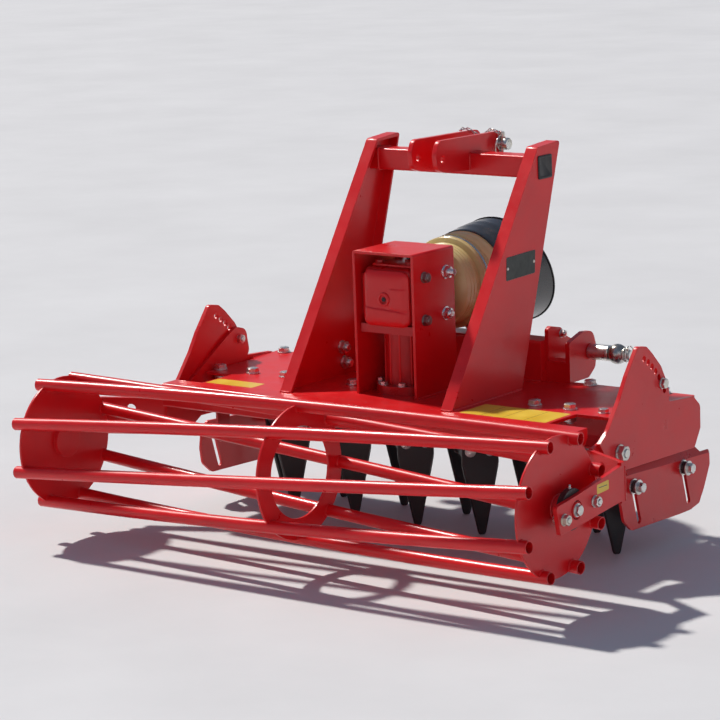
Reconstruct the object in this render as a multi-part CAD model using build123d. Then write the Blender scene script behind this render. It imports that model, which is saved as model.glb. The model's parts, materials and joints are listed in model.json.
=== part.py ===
from build123d import *
import math
import os

# Power harrow with a cage roller, for a tractor's three-point linkage.
# Millimetres.  X runs to the machine's right, Y forward to the tractor, Z up.
# All sizes below are taken from the roller's axle (Y = 0, Z = 0) and the machine's
# middle plane (X = 0).  home() then moves every piece so that the row's origin is
# the middle of the bounding box, on the ground that the tines stand on.

# ---------------------------------------------------------------- driving sizes
GROUND_Z = -270.0            # ground under the tine tips, below the roller's axle

# gear trough and deck
TROUGH_LEFT, TROUGH_RIGHT = -672.0, 685.0      # end plates' outer faces
END_T = 8.0
ROTOR_LINE_Y = 649.0
TROUGH_TOP_Z = 108.0
TROUGH_BOTTOM_Z = 14.0
FLANGE_T = 8.0
DECK_T = 8.0
DECK_TOP_Z = TROUGH_TOP_Z + FLANGE_T + DECK_T      # 124
FLANGE_REAR_Y, FLANGE_FRONT_Y = 492.0, 806.0
DECK_REAR_Y = 325.0
DECK_HALF = 578.0            # the deck's rear part, between the end cut-outs
DECK_STRIP_REAR_Y = 455.0    # rear edge of the strips that reach the side plates
BEAM_LEFT, BEAM_RIGHT, BEAM_REAR_Y, BEAM_Z0, BEAM_T = -674.0, 695.0, 262.0, 58.0, 5.0

# side plates (their outlines are in Y, Z, corner radius)
SIDE_OUT, SIDE_T = 739.0, 12.0
SIDE_LEFT_IN = 36.0          # the left plate stands this much nearer the middle
SIDE_OUTLINE = [
    (504, 307, 16), (448, 238, 80), (413, 185, 80), (353, 112, 60), (314, 86, 3),
    (332, 62, 20), (358, 20, 40), (398, -2, 30), (779, -12, 12), (811, 36, 12),
    (811, 98, 22), (777, 127, 10), (650, 136, 8), (655, 160, 20), (639, 198, 60),
    (615, 238, 60), (572, 280, 60), (545, 301, 20),
]
PIVOT_Y, PIVOT_Z = 406.0, 48.0
PIVOT_R = 12.0
QUAD_R, QUAD_FIRST, QUAD_STEP, QUAD_N = 256.0, 60.4, -5.27, 7
QUAD_HOLE_R = 8.5
QUAD_PIN_R = 8.0
QUAD_PIN_AT = 5              # sixth hole, counted from the top one

# deflectors: slotted plates; the right one hangs inside its side plate, the left one outside
DEFL_T = 8.0
DEFL_RIGHT_OUT, DEFL_LEFT_OUT = 711.0, 716.0
DEFL_BOTTOM = [(904, -85, 14), (874, -142, 10), (846, -181, 14), (800, -190, 30), (740, -190, 60), (552, -184, 60), (504, -183, 24), (466, -150, 24)]
DEFL_RIGHT_TOP = [(480, -32, 14), (903, -53, 4)]
DEFL_RIGHT_REAR = [(455, -105, 30), (449, -62, 10)]
DEFL_LEFT_TOP = [(494, -30, 14), (842, -50, 14), (899, -60, 10)]
DEFL_LEFT_REAR = [(460, -105, 30), (466, -66, 12)]
LIP_REAR = 862.0             # rear end of the left deflector's lip
BEND_H, BEND_IN = 26.0, 12.0  # rise and inward lean of the right deflector's bent top strip
SLOT_DY, SLOT_DZ = -0.276, 0.961          # upward direction of the slots
SLOT_TRAVEL, SLOT_HALF_W = 100.0, 9.0
DEFL_BOLTS = [(513.0, -66.0), (763.0, -66.0)]      # Y, Z of the clamping bolts

# headstock: two folded uprights, a crossbar and the top-link ears
UP_OUT, UP_T, UP_FLANGE = 274.0, 7.0, 37.0
UP_LEFT_OUT = 28.5           # the left upright stands this much further out
UP_FOOT_REAR, UP_FOOT_FRONT = 325.0, 655.0
UP_TOP_REAR, UP_TOP_FRONT, UP_TOP_Z = 760.0, 868.0, 776.0
BAR_Y, BAR_Z, BAR_W, BAR_WALL = 790.0, 716.0, 60.0, 5.0
EAR_OUT, EAR_T = 48.0, 14.0
EAR_REAR_HOLE = (634.0, 744.0)
EAR_PIN = (906.0, 756.0)
EAR_HOLE_R, EAR_PIN_R = 10.0, 9.5

# lower hitch, category 2
HITCH_Y, HITCH_Z = 888.0, 196.0
HITCH_PIN_R = 14.2
HITCH_SHOULDER, HITCH_PIN_END = 412.5, 478.0
HITCH_BALL_X, HITCH_BALL_R, HITCH_BALL_W = 435.0, 28.0, 45.0

# gearbox, its bracket, the input shaft and its guard
PTO_Z = 390.0
BOX_HALF, BOX_REAR, BOX_FRONT = 78.0, 412.0, 622.0
BRACKET_HALF, BRACKET_REAR, BRACKET_FRONT, BRACKET_TOP, BRACKET_T = 101.0, 408.0, 597.0, 517.0, 8.0
SHAFT_R, SHAFT_END_Y = 17.4, 800.0
GUARD_TILT = 21.0            # the mouth's plane leans back at its top
GUARD_MOUTH_Y, GUARD_MOUTH_Z = 995.0, 393.0

# rotors
ROTOR_PITCH = 216.0
ROTOR_N = 6
TINE_R, TINE_T = 119.0, 12.0
TINE_TOP_W, TINE_TIP_W, TINE_SHOULDER_Z = 102.0, 20.0, -74.0
TINE_REST = -45.0            # degrees of every rotor's tine pair at rest

# roller and its arms
ROLLER_R = 175.0             # tube centres
ROLLER_TUBE_R, ROLLER_TUBE_WALL = 16.85, 2.6
ROLLER_HALF = 838.5          # tubes' open ends
ROLLER_TUBES, ROLLER_FIRST, ROLLER_TWIST = 8, 20.6, 45.0
ROLLER_DISC_X, ROLLER_DISC_T, ROLLER_DISC_R = 813.0, 6.0, 178.0
RING_X, RING_IN_R, RING_OUT_R = 13.0, 122.0, 178.0
AXLE_R = 20.0
ARM_OUT, ARM_T = 870.0, 12.0
ARM_RIGHT_IN = (716.5, 726.3)             # the arms' inner plates, from the middle
ARM_LEFT_IN = (680.0, 690.0)


# ---------------------------------------------------------------- helpers
def outline(points):
    """Closed face from (u, v, corner radius) rows."""
    wire = FilletPolyline(
        *[(p[0], p[1]) for p in points], radius=[float(p[2]) for p in points], close=True
    )
    return make_face(wire)


def plate_x(points, x0, x1):
    """Plate whose outline lies in Y-Z, from x0 to x1."""
    face = Plane.YZ.offset(x0) * outline(points)
    return extrude(face, amount=x1 - x0, dir=(1, 0, 0))


def box(x0, x1, y0, y1, z0, z1):
    return Pos((x0 + x1) / 2, (y0 + y1) / 2, (z0 + z1) / 2) * Box(x1 - x0, y1 - y0, z1 - z0)


def rod_x(y, z, r, x0, x1):
    return Pos((x0 + x1) / 2, y, z) * Rot(0, 90, 0) * Cylinder(r, x1 - x0)


def rod_y(x, z, r, y0, y1):
    return Pos(x, (y0 + y1) / 2, z) * Rot(90, 0, 0) * Cylinder(r, y1 - y0)


def rod_z(x, y, r, z0, z1):
    return Pos(x, y, (z0 + z1) / 2) * Cylinder(r, z1 - z0)


def hex_x(y, z, across, x0, x1, turn=0.0):
    """Hexagon prism along X; across is its width over flats."""
    face = Plane.YZ.offset(x0) * (Pos(y, z) * Rot(0, 0, turn) * RegularPolygon(across / math.sqrt(3), 6))
    return extrude(face, amount=x1 - x0, dir=(1, 0, 0))


def mirrored(shape):
    return mirror(shape, about=Plane.YZ)


parts = {}


# ---------------------------------------------------------------- gear trough
section = outline([
    (533, TROUGH_TOP_Z, 0), (533, 52, 6), (562, TROUGH_BOTTOM_Z, 8),
    (736, TROUGH_BOTTOM_Z, 8), (765, 52, 6), (765, TROUGH_TOP_Z, 0),
])
trough = extrude(Plane.YZ.offset(TROUGH_LEFT + END_T) * section, amount=TROUGH_RIGHT - TROUGH_LEFT - 2 * END_T, dir=(1, 0, 0))
trough += box(TROUGH_LEFT, TROUGH_RIGHT, FLANGE_REAR_Y, FLANGE_FRONT_Y, TROUGH_TOP_Z, TROUGH_TOP_Z + FLANGE_T)
# each end plate reaches down in two ears that carry the deflectors' bolts
(e1y, ez), (e2y, _) = DEFL_BOLTS
end_outline = [
    (e1y - 24, TROUGH_TOP_Z + 1, 0), (e1y - 24, ez - 24, 20), (e1y + 24, ez - 24, 20), (e1y + 30, 4, 20),
    (e2y - 30, 4, 20), (e2y - 24, ez - 24, 20), (e2y + 24, ez - 24, 20), (771, 10, 20), (767, 48, 6), (767, 82, 8),
    (FLANGE_FRONT_Y, 96, 4), (FLANGE_FRONT_Y, TROUGH_TOP_Z + 1, 0),
]
for x0 in (TROUGH_LEFT, TROUGH_RIGHT - END_T):
    end = plate_x(end_outline, x0, x0 + END_T)
    for (y, z) in DEFL_BOLTS:
        end -= rod_x(y, z, 8.0, x0 - 1, x0 + END_T + 1)
    trough += end
rotor_xs = [(i - (ROTOR_N - 1) / 2) * ROTOR_PITCH for i in range(ROTOR_N)]
for x in rotor_xs:
    trough += rod_z(x, ROTOR_LINE_Y, 66, 2, TROUGH_BOTTOM_Z + 2)
    trough -= rod_z(x, ROTOR_LINE_Y, 25.05, 0, 52)
parts["gear_trough"] = trough

# ---------------------------------------------------------------- deck plate
z0 = TROUGH_TOP_Z + FLANGE_T
deck_face = outline([
    (-DECK_HALF, DECK_REAR_Y, 0), (DECK_HALF, DECK_REAR_Y, 0), (DECK_HALF, DECK_STRIP_REAR_Y, 4),
    (697, DECK_STRIP_REAR_Y, 4), (697, 678, 4), (726.5, 678, 4), (726.5, FLANGE_FRONT_Y, 4),
    (-690.5, FLANGE_FRONT_Y, 4), (-690.5, 678, 4), (-674, 678, 4), (-674, DECK_STRIP_REAR_Y, 4),
    (-DECK_HALF, DECK_STRIP_REAR_Y, 4),
])
deck = extrude(Pos(0, 0, z0) * deck_face, amount=DECK_T)
parts["deck_plate"] = deck

# the blocks that tie the deck and trough to the side plates
side_left_inner = -(SIDE_OUT - SIDE_T - SIDE_LEFT_IN)
ties = box(TROUGH_RIGHT, SIDE_OUT - SIDE_T, 684, 798, 92, z0)
ties += box(side_left_inner, TROUGH_LEFT, 684, 798, 92, z0)
parts["side_tie_blocks"] = ties

# ---------------------------------------------------------------- rear beam
beam = outline([
    (BEAM_REAR_Y, DECK_TOP_Z, 8), (BEAM_REAR_Y, BEAM_Z0, 8), (BEAM_REAR_Y + 30, BEAM_Z0, 0),
    (BEAM_REAR_Y + 30, BEAM_Z0 + BEAM_T, 0), (BEAM_REAR_Y + BEAM_T, BEAM_Z0 + BEAM_T, 3),
    (BEAM_REAR_Y + BEAM_T, DECK_TOP_Z - BEAM_T, 3), (DECK_REAR_Y, DECK_TOP_Z - BEAM_T, 0),
    (DECK_REAR_Y, DECK_TOP_Z, 0),
])
rear_beam = extrude(Plane.YZ.offset(BEAM_LEFT) * beam, amount=BEAM_RIGHT - BEAM_LEFT, dir=(1, 0, 0))
for x in (BEAM_LEFT, BEAM_RIGHT - BEAM_T):
    rear_beam += plate_x(
        [(BEAM_REAR_Y + 3, BEAM_Z0 + 2, 0), (BEAM_REAR_Y + 30, BEAM_Z0 + 2, 0), (DECK_REAR_Y, DECK_TOP_Z - 26, 0),
         (DECK_REAR_Y, DECK_TOP_Z - 3, 0), (BEAM_REAR_Y + 3, DECK_TOP_Z - 3, 0)], x, x + BEAM_T)
parts["rear_beam"] = rear_beam

# ---------------------------------------------------------------- side plates
side = plate_x(SIDE_OUTLINE, SIDE_OUT - SIDE_T, SIDE_OUT)
side -= rod_x(PIVOT_Y, PIVOT_Z, PIVOT_R + 0.5, SIDE_OUT - SIDE_T - 1, SIDE_OUT + 1)
for i in range(QUAD_N):
    a = math.radians(QUAD_FIRST + i * QUAD_STEP)
    side -= rod_x(PIVOT_Y + QUAD_R * math.cos(a), PIVOT_Z + QUAD_R * math.sin(a), QUAD_HOLE_R,
                  SIDE_OUT - SIDE_T - 1, SIDE_OUT + 1)
parts["side_plate_right"] = side
parts["side_plate_left"] = Pos(SIDE_LEFT_IN, 0, 0) * mirrored(side)

# ---------------------------------------------------------------- deflectors
n = math.hypot(SLOT_DY, SLOT_DZ)
uy, uz = SLOT_DY / n, SLOT_DZ / n
slot_angle = math.degrees(math.atan2(uz, uy))


def deflector(out, top, rear):
    plate = plate_x(top + DEFL_BOTTOM + rear, out - DEFL_T, out)
    for (y, z) in DEFL_BOLTS:
        # the bolt stands at the slot's top when the deflector hangs at its lowest
        cy, cz = y - uy * SLOT_TRAVEL / 2, z - uz * SLOT_TRAVEL / 2
        face = Plane.YZ.offset(out - DEFL_T - 1) * (
            Pos(cy, cz) * Rot(0, 0, slot_angle) * SlotOverall(SLOT_TRAVEL + 2 * SLOT_HALF_W + 1.0, 2 * SLOT_HALF_W))
        plate -= extrude(face, amount=DEFL_T + 2, dir=(1, 0, 0))
    return plate


# the left one has a short inward lip at the front end of its top edge
left = deflector(DEFL_LEFT_OUT, DEFL_LEFT_TOP, DEFL_LEFT_REAR)
left += plate_x([(LIP_REAR, -53, 0), (892, -60.2, 0), (892, -68, 0), (LIP_REAR, -61, 0)],
                DEFL_LEFT_OUT - DEFL_T - 20, DEFL_LEFT_OUT - DEFL_T + 0.5)
parts["deflector_left"] = mirrored(left)

# the right one's top strip is bent inwards along its whole length, and lower at the front end
(ya, za, _), (yb, zb, _) = DEFL_RIGHT_TOP
length = math.hypot(yb - ya, zb - za)
along = Vector(0, yb - ya, zb - za).normalized()
rise = Vector(-BEND_IN, 0, BEND_H).normalized()
height = math.hypot(BEND_IN, BEND_H)
bend = Plane(origin=(DEFL_RIGHT_OUT, ya, za), x_dir=along, z_dir=along.cross(rise))
strip = bend * make_face(Polyline(
    (8, -0.2), (length, -0.2), (length, 8), (length - 3, 10), (length - 44, 10), (length - 62, height), (30, height),
    (8, height - 14), close=True))
right = deflector(DEFL_RIGHT_OUT, DEFL_RIGHT_TOP, DEFL_RIGHT_REAR)
right += extrude(strip, amount=-DEFL_T)
parts["deflector_right"] = right

# spacers from the end plates' ears to the deflectors, and the clamping bolts with their stacks
spacers, clamps = None, None
for s, end_out, out in ((1, TROUGH_RIGHT, DEFL_RIGHT_OUT), (-1, -TROUGH_LEFT, DEFL_LEFT_OUT)):
    for (y, z) in DEFL_BOLTS:
        x1 = out - DEFL_T - 0.6
        spacer = rod_x(y, z, 18.0, end_out, x1) - rod_x(y, z, 8.0, end_out - 1, x1 + 1)
        bolt = rod_x(y, z, 8.0, end_out - END_T - 3, out + 33.6)
        bolt += hex_x(y, z, 24, end_out - END_T - 10, end_out - END_T)
        for (r, x0, length) in ((21.0, 0.6, 4.0), (17.0, 4.6, 12.0), (20.0, 16.6, 3.0)):   # radius, start, length
            bolt += rod_x(y, z, r, out + x0, out + x0 + length)
        bolt += hex_x(y, z, 24, out + 19.6, out + 33.6)
        if s < 0:
            spacer, bolt = mirrored(spacer), mirrored(bolt)
        spacers = spacer if spacers is None else spacers + spacer
        clamps = bolt if clamps is None else clamps + bolt
parts["deflector_spacers"] = spacers
parts["deflector_bolts"] = clamps

# ---------------------------------------------------------------- headstock
def rear_y(z):
    t = (z - DECK_TOP_Z) / (UP_TOP_Z - DECK_TOP_Z)
    return UP_FOOT_REAR + t * (UP_TOP_REAR - UP_FOOT_REAR)


def front_y(z):
    t = (z - DECK_TOP_Z) / (UP_TOP_Z - DECK_TOP_Z)
    return UP_FOOT_FRONT + t * (UP_TOP_FRONT - UP_FOOT_FRONT)


up_outline = [
    (UP_FOOT_REAR, DECK_TOP_Z, 0), (UP_FOOT_FRONT, DECK_TOP_Z, 0),
    (UP_TOP_FRONT, UP_TOP_Z + 4, 8), (UP_TOP_REAR, UP_TOP_Z - 4, 14),
]
up = plate_x(up_outline, UP_OUT - UP_FLANGE, UP_OUT)
# the channel's hollow, open towards the machine's middle
k_rear = UP_T / math.cos(math.atan2(UP_TOP_REAR - UP_FOOT_REAR, UP_TOP_Z - DECK_TOP_Z))
k_front = UP_T / math.cos(math.atan2(UP_TOP_FRONT - UP_FOOT_FRONT, UP_TOP_Z - DECK_TOP_Z))
zt = UP_TOP_Z - UP_T
inner = [
    (UP_FOOT_REAR + k_rear, DECK_TOP_Z - 1, 0), (UP_FOOT_FRONT - k_front, DECK_TOP_Z - 1, 0),
    (front_y(zt) - k_front, zt, 4), (rear_y(zt) + k_rear + 2, zt - 4, 8),
]
up -= plate_x(inner, UP_OUT - UP_FLANGE - 1, UP_OUT - UP_T)
up -= box(UP_OUT - UP_FLANGE - 2, UP_OUT + 1, BAR_Y - BAR_W / 2, BAR_Y + BAR_W / 2, BAR_Z - BAR_W / 2, BAR_Z + BAR_W / 2)
parts["upright_right"] = up
parts["upright_left"] = Pos(-UP_LEFT_OUT, 0, 0) * mirrored(up)

bar_left = -UP_OUT - UP_LEFT_OUT
bar = box(bar_left, UP_OUT, BAR_Y - BAR_W / 2, BAR_Y + BAR_W / 2, BAR_Z - BAR_W / 2, BAR_Z + BAR_W / 2)
bar = fillet(bar.edges().filter_by(Axis.X), 6)
h = BAR_W / 2 - BAR_WALL
bar -= box(bar_left - 1, UP_OUT + 1, BAR_Y - h, BAR_Y + h, BAR_Z - h, BAR_Z + h)
parts["crossbar"] = bar

caps = None
for s in (1, -1):
    xa, xb = UP_OUT, UP_OUT + 3.5
    cap = box(xa, xb, BAR_Y - 33, BAR_Y + 33, BAR_Z - 32, BAR_Z + 32)
    cap = fillet(cap.edges().filter_by(Axis.X), 4)
    cap += box(UP_OUT - 18, xa + 0.5, BAR_Y - h, BAR_Y + h, BAR_Z - h, BAR_Z + h)
    if s < 0:
        cap = Pos(-UP_LEFT_OUT, 0, 0) * mirrored(cap)
    caps = cap if caps is None else caps + cap
parts["crossbar_caps"] = caps

# ears: over the crossbar, with a hole each end
yb0, zb1 = BAR_Y - BAR_W / 2, BAR_Z + BAR_W / 2
ear_outline = [
    (602, 760, 26), (618, 795, 22), (926, 790, 26), (946, 752, 30), (908, 716, 30),
    (BAR_Y + BAR_W / 2, 722, 6), (BAR_Y + BAR_W / 2, zb1, 0), (yb0, zb1, 0), (yb0, 700, 4), (650, 704, 30), (608, 716, 26),
]
ears = None
for s in (1, -1):
    ear = plate_x(ear_outline, EAR_OUT - EAR_T, EAR_OUT)
    ear -= rod_x(EAR_REAR_HOLE[0], EAR_REAR_HOLE[1], EAR_HOLE_R, 0, 100)
    ear -= rod_x(EAR_PIN[0], EAR_PIN[1], EAR_PIN_R, 0, 100)
    if s < 0:
        ear = mirrored(ear)
    ears = ear if ears is None else ears + ear
parts["top_link_ears"] = ears

pin = rod_x(EAR_PIN[0], EAR_PIN[1], EAR_PIN_R, -EAR_OUT - 10, EAR_OUT + 34)
pin += rod_x(EAR_PIN[0], EAR_PIN[1], 17, -EAR_OUT - 16, -EAR_OUT - 6)
pin += rod_x(EAR_PIN[0], EAR_PIN[1], 15, EAR_OUT + 0.5, EAR_OUT + 4)
parts["top_link_pin"] = pin

# ---------------------------------------------------------------- lower hitch
LUG_IN = (265.0, 277.0)
LUG_OUT = (331.0, 345.0)
LUG_REAR_Y = 785.0
front_bar = box(-LUG_IN[0], LUG_IN[0], FLANGE_FRONT_Y - 42, FLANGE_FRONT_Y + 34, DECK_TOP_Z, DECK_TOP_Z + 114)
front_bar = fillet(front_bar.edges().filter_by(Axis.X), 8)
parts["hitch_beam"] = front_bar
lugs = None
for s in (1, -1):
    out_lug = plate_x([
        (LUG_REAR_Y, DECK_TOP_Z, 0), (LUG_REAR_Y, 236, 10), (858, 256, 30), (904, 252, 30), (924, 200, 36),
        (914, 148, 26), (880, DECK_TOP_Z, 16),
    ], *LUG_OUT)
    in_lug = plate_x([
        (LUG_REAR_Y, DECK_TOP_Z, 0), (LUG_REAR_Y, 268, 9), (800, 275, 8), (850, 264, 16), (868, 240, 12), (918, 216, 22),
        (920, 160, 26), (880, DECK_TOP_Z, 16),
    ], *LUG_IN)
    lug = out_lug + in_lug + box(LUG_IN[1] - 0.5, LUG_OUT[0] + 0.5, LUG_REAR_Y, FLANGE_FRONT_Y + 34, DECK_TOP_Z, DECK_TOP_Z + 56)
    lug -= rod_x(HITCH_Y, HITCH_Z, HITCH_PIN_R, LUG_IN[0] - 1, LUG_OUT[1] + 1)
    if s < 0:
        lug = mirrored(lug)
    lugs = lug if lugs is None else lugs + lug
parts["hitch_lugs"] = lugs

pins, balls = None, None
for s in (1, -1):
    p = rod_x(HITCH_Y, HITCH_Z, HITCH_PIN_R, LUG_IN[0] - 14, HITCH_PIN_END)
    p += rod_x(HITCH_Y, HITCH_Z, 22, LUG_OUT[1], HITCH_SHOULDER)
    p += rod_x(HITCH_Y, HITCH_Z, 21, LUG_IN[0] - 12, LUG_IN[0])
    hw = HITCH_BALL_W / 2
    flat_r = math.sqrt(HITCH_BALL_R ** 2 - hw ** 2)
    half = Line((-hw, HITCH_PIN_R), (-hw, flat_r)) + ThreePointArc((-hw, flat_r), (0, HITCH_BALL_R), (hw, flat_r))
    half += Line((hw, flat_r), (hw, HITCH_PIN_R)) + Line((hw, HITCH_PIN_R), (-hw, HITCH_PIN_R))
    ball = Pos(HITCH_BALL_X, HITCH_Y, HITCH_Z) * revolve(make_face(half), axis=Axis.X)
    if s < 0:
        p, ball = mirrored(p), mirrored(ball)
    pins = p if pins is None else pins + p
    balls = ball if balls is None else balls + ball
parts["lower_link_pins"] = pins
parts["lower_link_balls"] = balls

# ---------------------------------------------------------------- gearbox
bracket = box(-BRACKET_HALF, BRACKET_HALF, BRACKET_REAR, BRACKET_FRONT, DECK_TOP_Z, BRACKET_TOP)
bracket = fillet(bracket.edges().filter_by(Axis.Y).group_by(Axis.Z)[-1], 7)
bi = BRACKET_HALF - BRACKET_T
bracket -= box(-bi, bi, BRACKET_REAR - 1, BRACKET_FRONT + 1, DECK_TOP_Z - 1, BRACKET_TOP - BRACKET_T)
parts["gearbox_bracket"] = bracket

gbox = box(-BOX_HALF, BOX_HALF, BOX_REAR + 14, BOX_FRONT - 14, PTO_Z - 74, PTO_Z + 82)
gbox = fillet(gbox.edges(), 14)
gbox += rod_y(0, PTO_Z, 62, BOX_FRONT - 20, BOX_FRONT + 14)
gbox += rod_z(0, 512, 62, DECK_TOP_Z + 22, PTO_Z - 60)
gbox += rod_z(0, 512, 88, DECK_TOP_Z, DECK_TOP_Z + 24)
for s in (1, -1):
    gbox += box(min(s * 70, s * bi), max(s * 70, s * bi), 436, 572, PTO_Z - 52, PTO_Z + 62)
gbox += box(-88, 88, 420, 604, PTO_Z - 96, PTO_Z - 72)
gbox -= rod_y(0, PTO_Z, SHAFT_R + 0.05, 560, BOX_FRONT + 20)
# the closed space round the gears
gbox -= rod_z(0, 512, 42, DECK_TOP_Z + 12, PTO_Z - 60)
gbox -= box(-58, 58, 445, 545, PTO_Z - 60, PTO_Z + 66)
parts["gearbox"] = gbox

cover = box(-76, 76, BOX_REAR, BOX_REAR + 14, PTO_Z - 72, PTO_Z + 80)
cover = fillet(cover.edges().filter_by(Axis.Y), 22)
cover += rod_y(0, PTO_Z - 2, 26, BOX_REAR - 8, BOX_REAR + 2)
parts["gearbox_rear_cover"] = cover

shaft = rod_y(0, PTO_Z, SHAFT_R, 561, SHAFT_END_Y)
shaft += rod_y(0, PTO_Z, 28, BOX_FRONT + 14.5, BOX_FRONT + 34)
shaft = chamfer(shaft.edges().group_by(Axis.Y)[-1], 2.5)
parts["input_shaft"] = shaft


# ---------------------------------------------------------------- guard (surfaces of revolution about the shaft)
def turned(profile):
    """Solid turned about the input shaft's axis; profile rows are (radius, Y)."""
    wire = Polyline(*[(r, 0, y) for r, y in profile], close=True)
    face = make_face(wire)
    body = revolve(face, axis=Axis.Z, revolution_arc=360)
    return Pos(0, 0, PTO_Z) * Rot(-90, 0, 0) * body


guard_rear = turned([
    (64, BOX_FRONT + 2), (112, BOX_FRONT + 20), (113, 702), (128, 706), (128, 744), (131, 748), (133, 806),
    (129, 806), (127, 750), (124, 742), (124, 710), (109, 706), (108, BOX_FRONT + 26), (64, BOX_FRONT + 8),
])
parts["input_guard"] = guard_rear
rim = turned([(133.5, 790), (137, 800), (146, 868), (160, 1075), (156, 1075), (142, 868), (133.5, 806)])
n_vec = (0, math.cos(math.radians(GUARD_TILT)), math.sin(math.radians(GUARD_TILT)))
cut_plane = Plane(origin=(0, GUARD_MOUTH_Y, GUARD_MOUTH_Z), x_dir=(1, 0, 0), z_dir=n_vec)
rim = split(rim, bisect_by=cut_plane, keep=Keep.BOTTOM)
parts["input_guard_mouth"] = rim

# ---------------------------------------------------------------- rotors
for i, x in enumerate(rotor_xs):
    hub = rod_z(0, 0, 25.0, -4, 51)
    hub += rod_z(0, 0, 56, -14, -4)
    arm = Pos(0, 0, -36) * Box(2 * (TINE_R - TINE_T / 2), 88, 48)
    arm = fillet(arm.edges().filter_by(Axis.Z), 10)
    hub += arm
    hub += rod_z(0, 0, 50, -62, -58)
    tines = None
    for s in (1, -1):
        x0, x1 = sorted((s * (TINE_R - TINE_T / 2), s * (TINE_R + TINE_T / 2)))
        blade = plate_x([
            (-TINE_TOP_W / 2, -10, 12), (-TINE_TOP_W / 2, TINE_SHOULDER_Z, 20), (-TINE_TIP_W / 2, GROUND_Z, 5),
            (TINE_TIP_W / 2, GROUND_Z, 5), (TINE_TOP_W / 2, TINE_SHOULDER_Z, 20), (TINE_TOP_W / 2, -10, 12),
        ], x0, x1)
        tines = blade if tines is None else tines + blade
    place = Pos(x, ROTOR_LINE_Y, 0) * Rot(0, 0, TINE_REST)
    parts[f"rotor_{i + 1}"] = place * hub
    parts[f"tines_{i + 1}"] = place * tines

# ---------------------------------------------------------------- roller
def tube_path(k):
    a = math.radians(ROLLER_FIRST + 45.0 * k)
    t = math.radians(ROLLER_TWIST)
    pts = []
    for f in (0.0, 0.5, 1.0):
        b = a - t * f
        pts.append((-ROLLER_HALF + 2 * ROLLER_HALF * f, ROLLER_R * math.cos(b), ROLLER_R * math.sin(b)))
    return ThreePointArc(*pts)


tubes, tube_solids = [], []
for k in range(ROLLER_TUBES):
    path = tube_path(k)
    plane = Plane(origin=path @ 0, z_dir=path % 0)
    full = sweep(plane * Circle(ROLLER_TUBE_R), path=path)
    bore = sweep(plane * Circle(ROLLER_TUBE_R - ROLLER_TUBE_WALL), path=path)
    tube_solids.append(full)
    tubes.append(full - bore)
parts["roller_tubes"] = Compound(tubes)


discs = None
for s in (1, -1):
    inner = ROLLER_DISC_X - ROLLER_DISC_T
    disc = None
    for (r, x0, x1) in (                                   # radius, from, to: plate, inner hub, boss, axle stub
        (ROLLER_DISC_R, inner, ROLLER_DISC_X), (46.0, inner - 12, inner), (30.0, inner + 4, 838.0),
        (AXLE_R, inner + 4, ARM_OUT + 1),
    ):
        rod = rod_x(0, 0, r, min(s * x0, s * x1), max(s * x0, s * x1))
        disc = rod if disc is None else disc + rod
    discs = disc if discs is None else discs + disc
# the tubes lie in notches in the discs' rims
for t in tube_solids:
    discs -= t
parts["roller_ends"] = discs

ring = rod_x(0, 0, RING_OUT_R, RING_X - 3, RING_X + 3) - rod_x(0, 0, RING_IN_R, RING_X - 5, RING_X + 5)
for t in tube_solids:
    ring -= t
parts["roller_ring"] = ring

# ---------------------------------------------------------------- roller arms
def slab(points, z0, z1):
    return extrude(Pos(0, 0, z0) * make_face(Polyline(*points, close=True)), amount=z1 - z0)


inner_outline = [
    (293, -30, 6), (293, 76, 6), (372, 94, 20), (560, 205, 30), (606, 228, 30), (650, 216, 26), (662, 150, 26),
    (640, 122, 10), (470, 18, 20), (430, -2, 30), (380, -30, 30),
]
outer_outline = [
    (212, 70, 4), (226, -20, 4), (133, -29, 20), (23, -41, 20), (-73, -48, 2), (-89, 25, 8),
    (-38, 31, 20), (8, 37, 20), (112, 53, 20),
]
qa = math.radians(QUAD_FIRST + QUAD_PIN_AT * QUAD_STEP)
QY, QZ = PIVOT_Y + QUAD_R * math.cos(qa), PIVOT_Z + QUAD_R * math.sin(qa)


def roller_arm(in0, in1):
    """Inner plate beside the side plate, cranked piece, and outer plate that holds the axle."""
    arm = plate_x(inner_outline, in0, in1)
    rows = [(in0, 300), (in1, 300), (ARM_OUT, 222), (ARM_OUT, 206), (ARM_OUT - ARM_T, 206), (ARM_OUT - ARM_T, 214),
            (in1 - 1, 287), (in0, 287)]
    arm += slab(rows, -28, 76)
    # the lightening hole through the cranked piece
    turn = math.degrees(math.atan2(222 - 300, ARM_OUT - in1))
    arm -= Pos(784, 258, 44) * Rot(0, 0, turn + 90) * Rot(0, 90, 0) * Cylinder(14, 80)
    arm += plate_x(outer_outline, ARM_OUT - ARM_T, ARM_OUT)
    arm -= rod_x(PIVOT_Y, PIVOT_Z, PIVOT_R + 0.05, in0 - 1, in1 + 1)
    arm -= rod_x(QY, QZ, QUAD_PIN_R, in0 - 1, in1 + 1)
    arm -= rod_x(0, 0, 24, ARM_OUT - ARM_T - 1, ARM_OUT + 1)
    return arm


parts["roller_arm_right"] = roller_arm(*ARM_RIGHT_IN)
parts["roller_arm_left"] = mirrored(roller_arm(*ARM_LEFT_IN))

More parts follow.
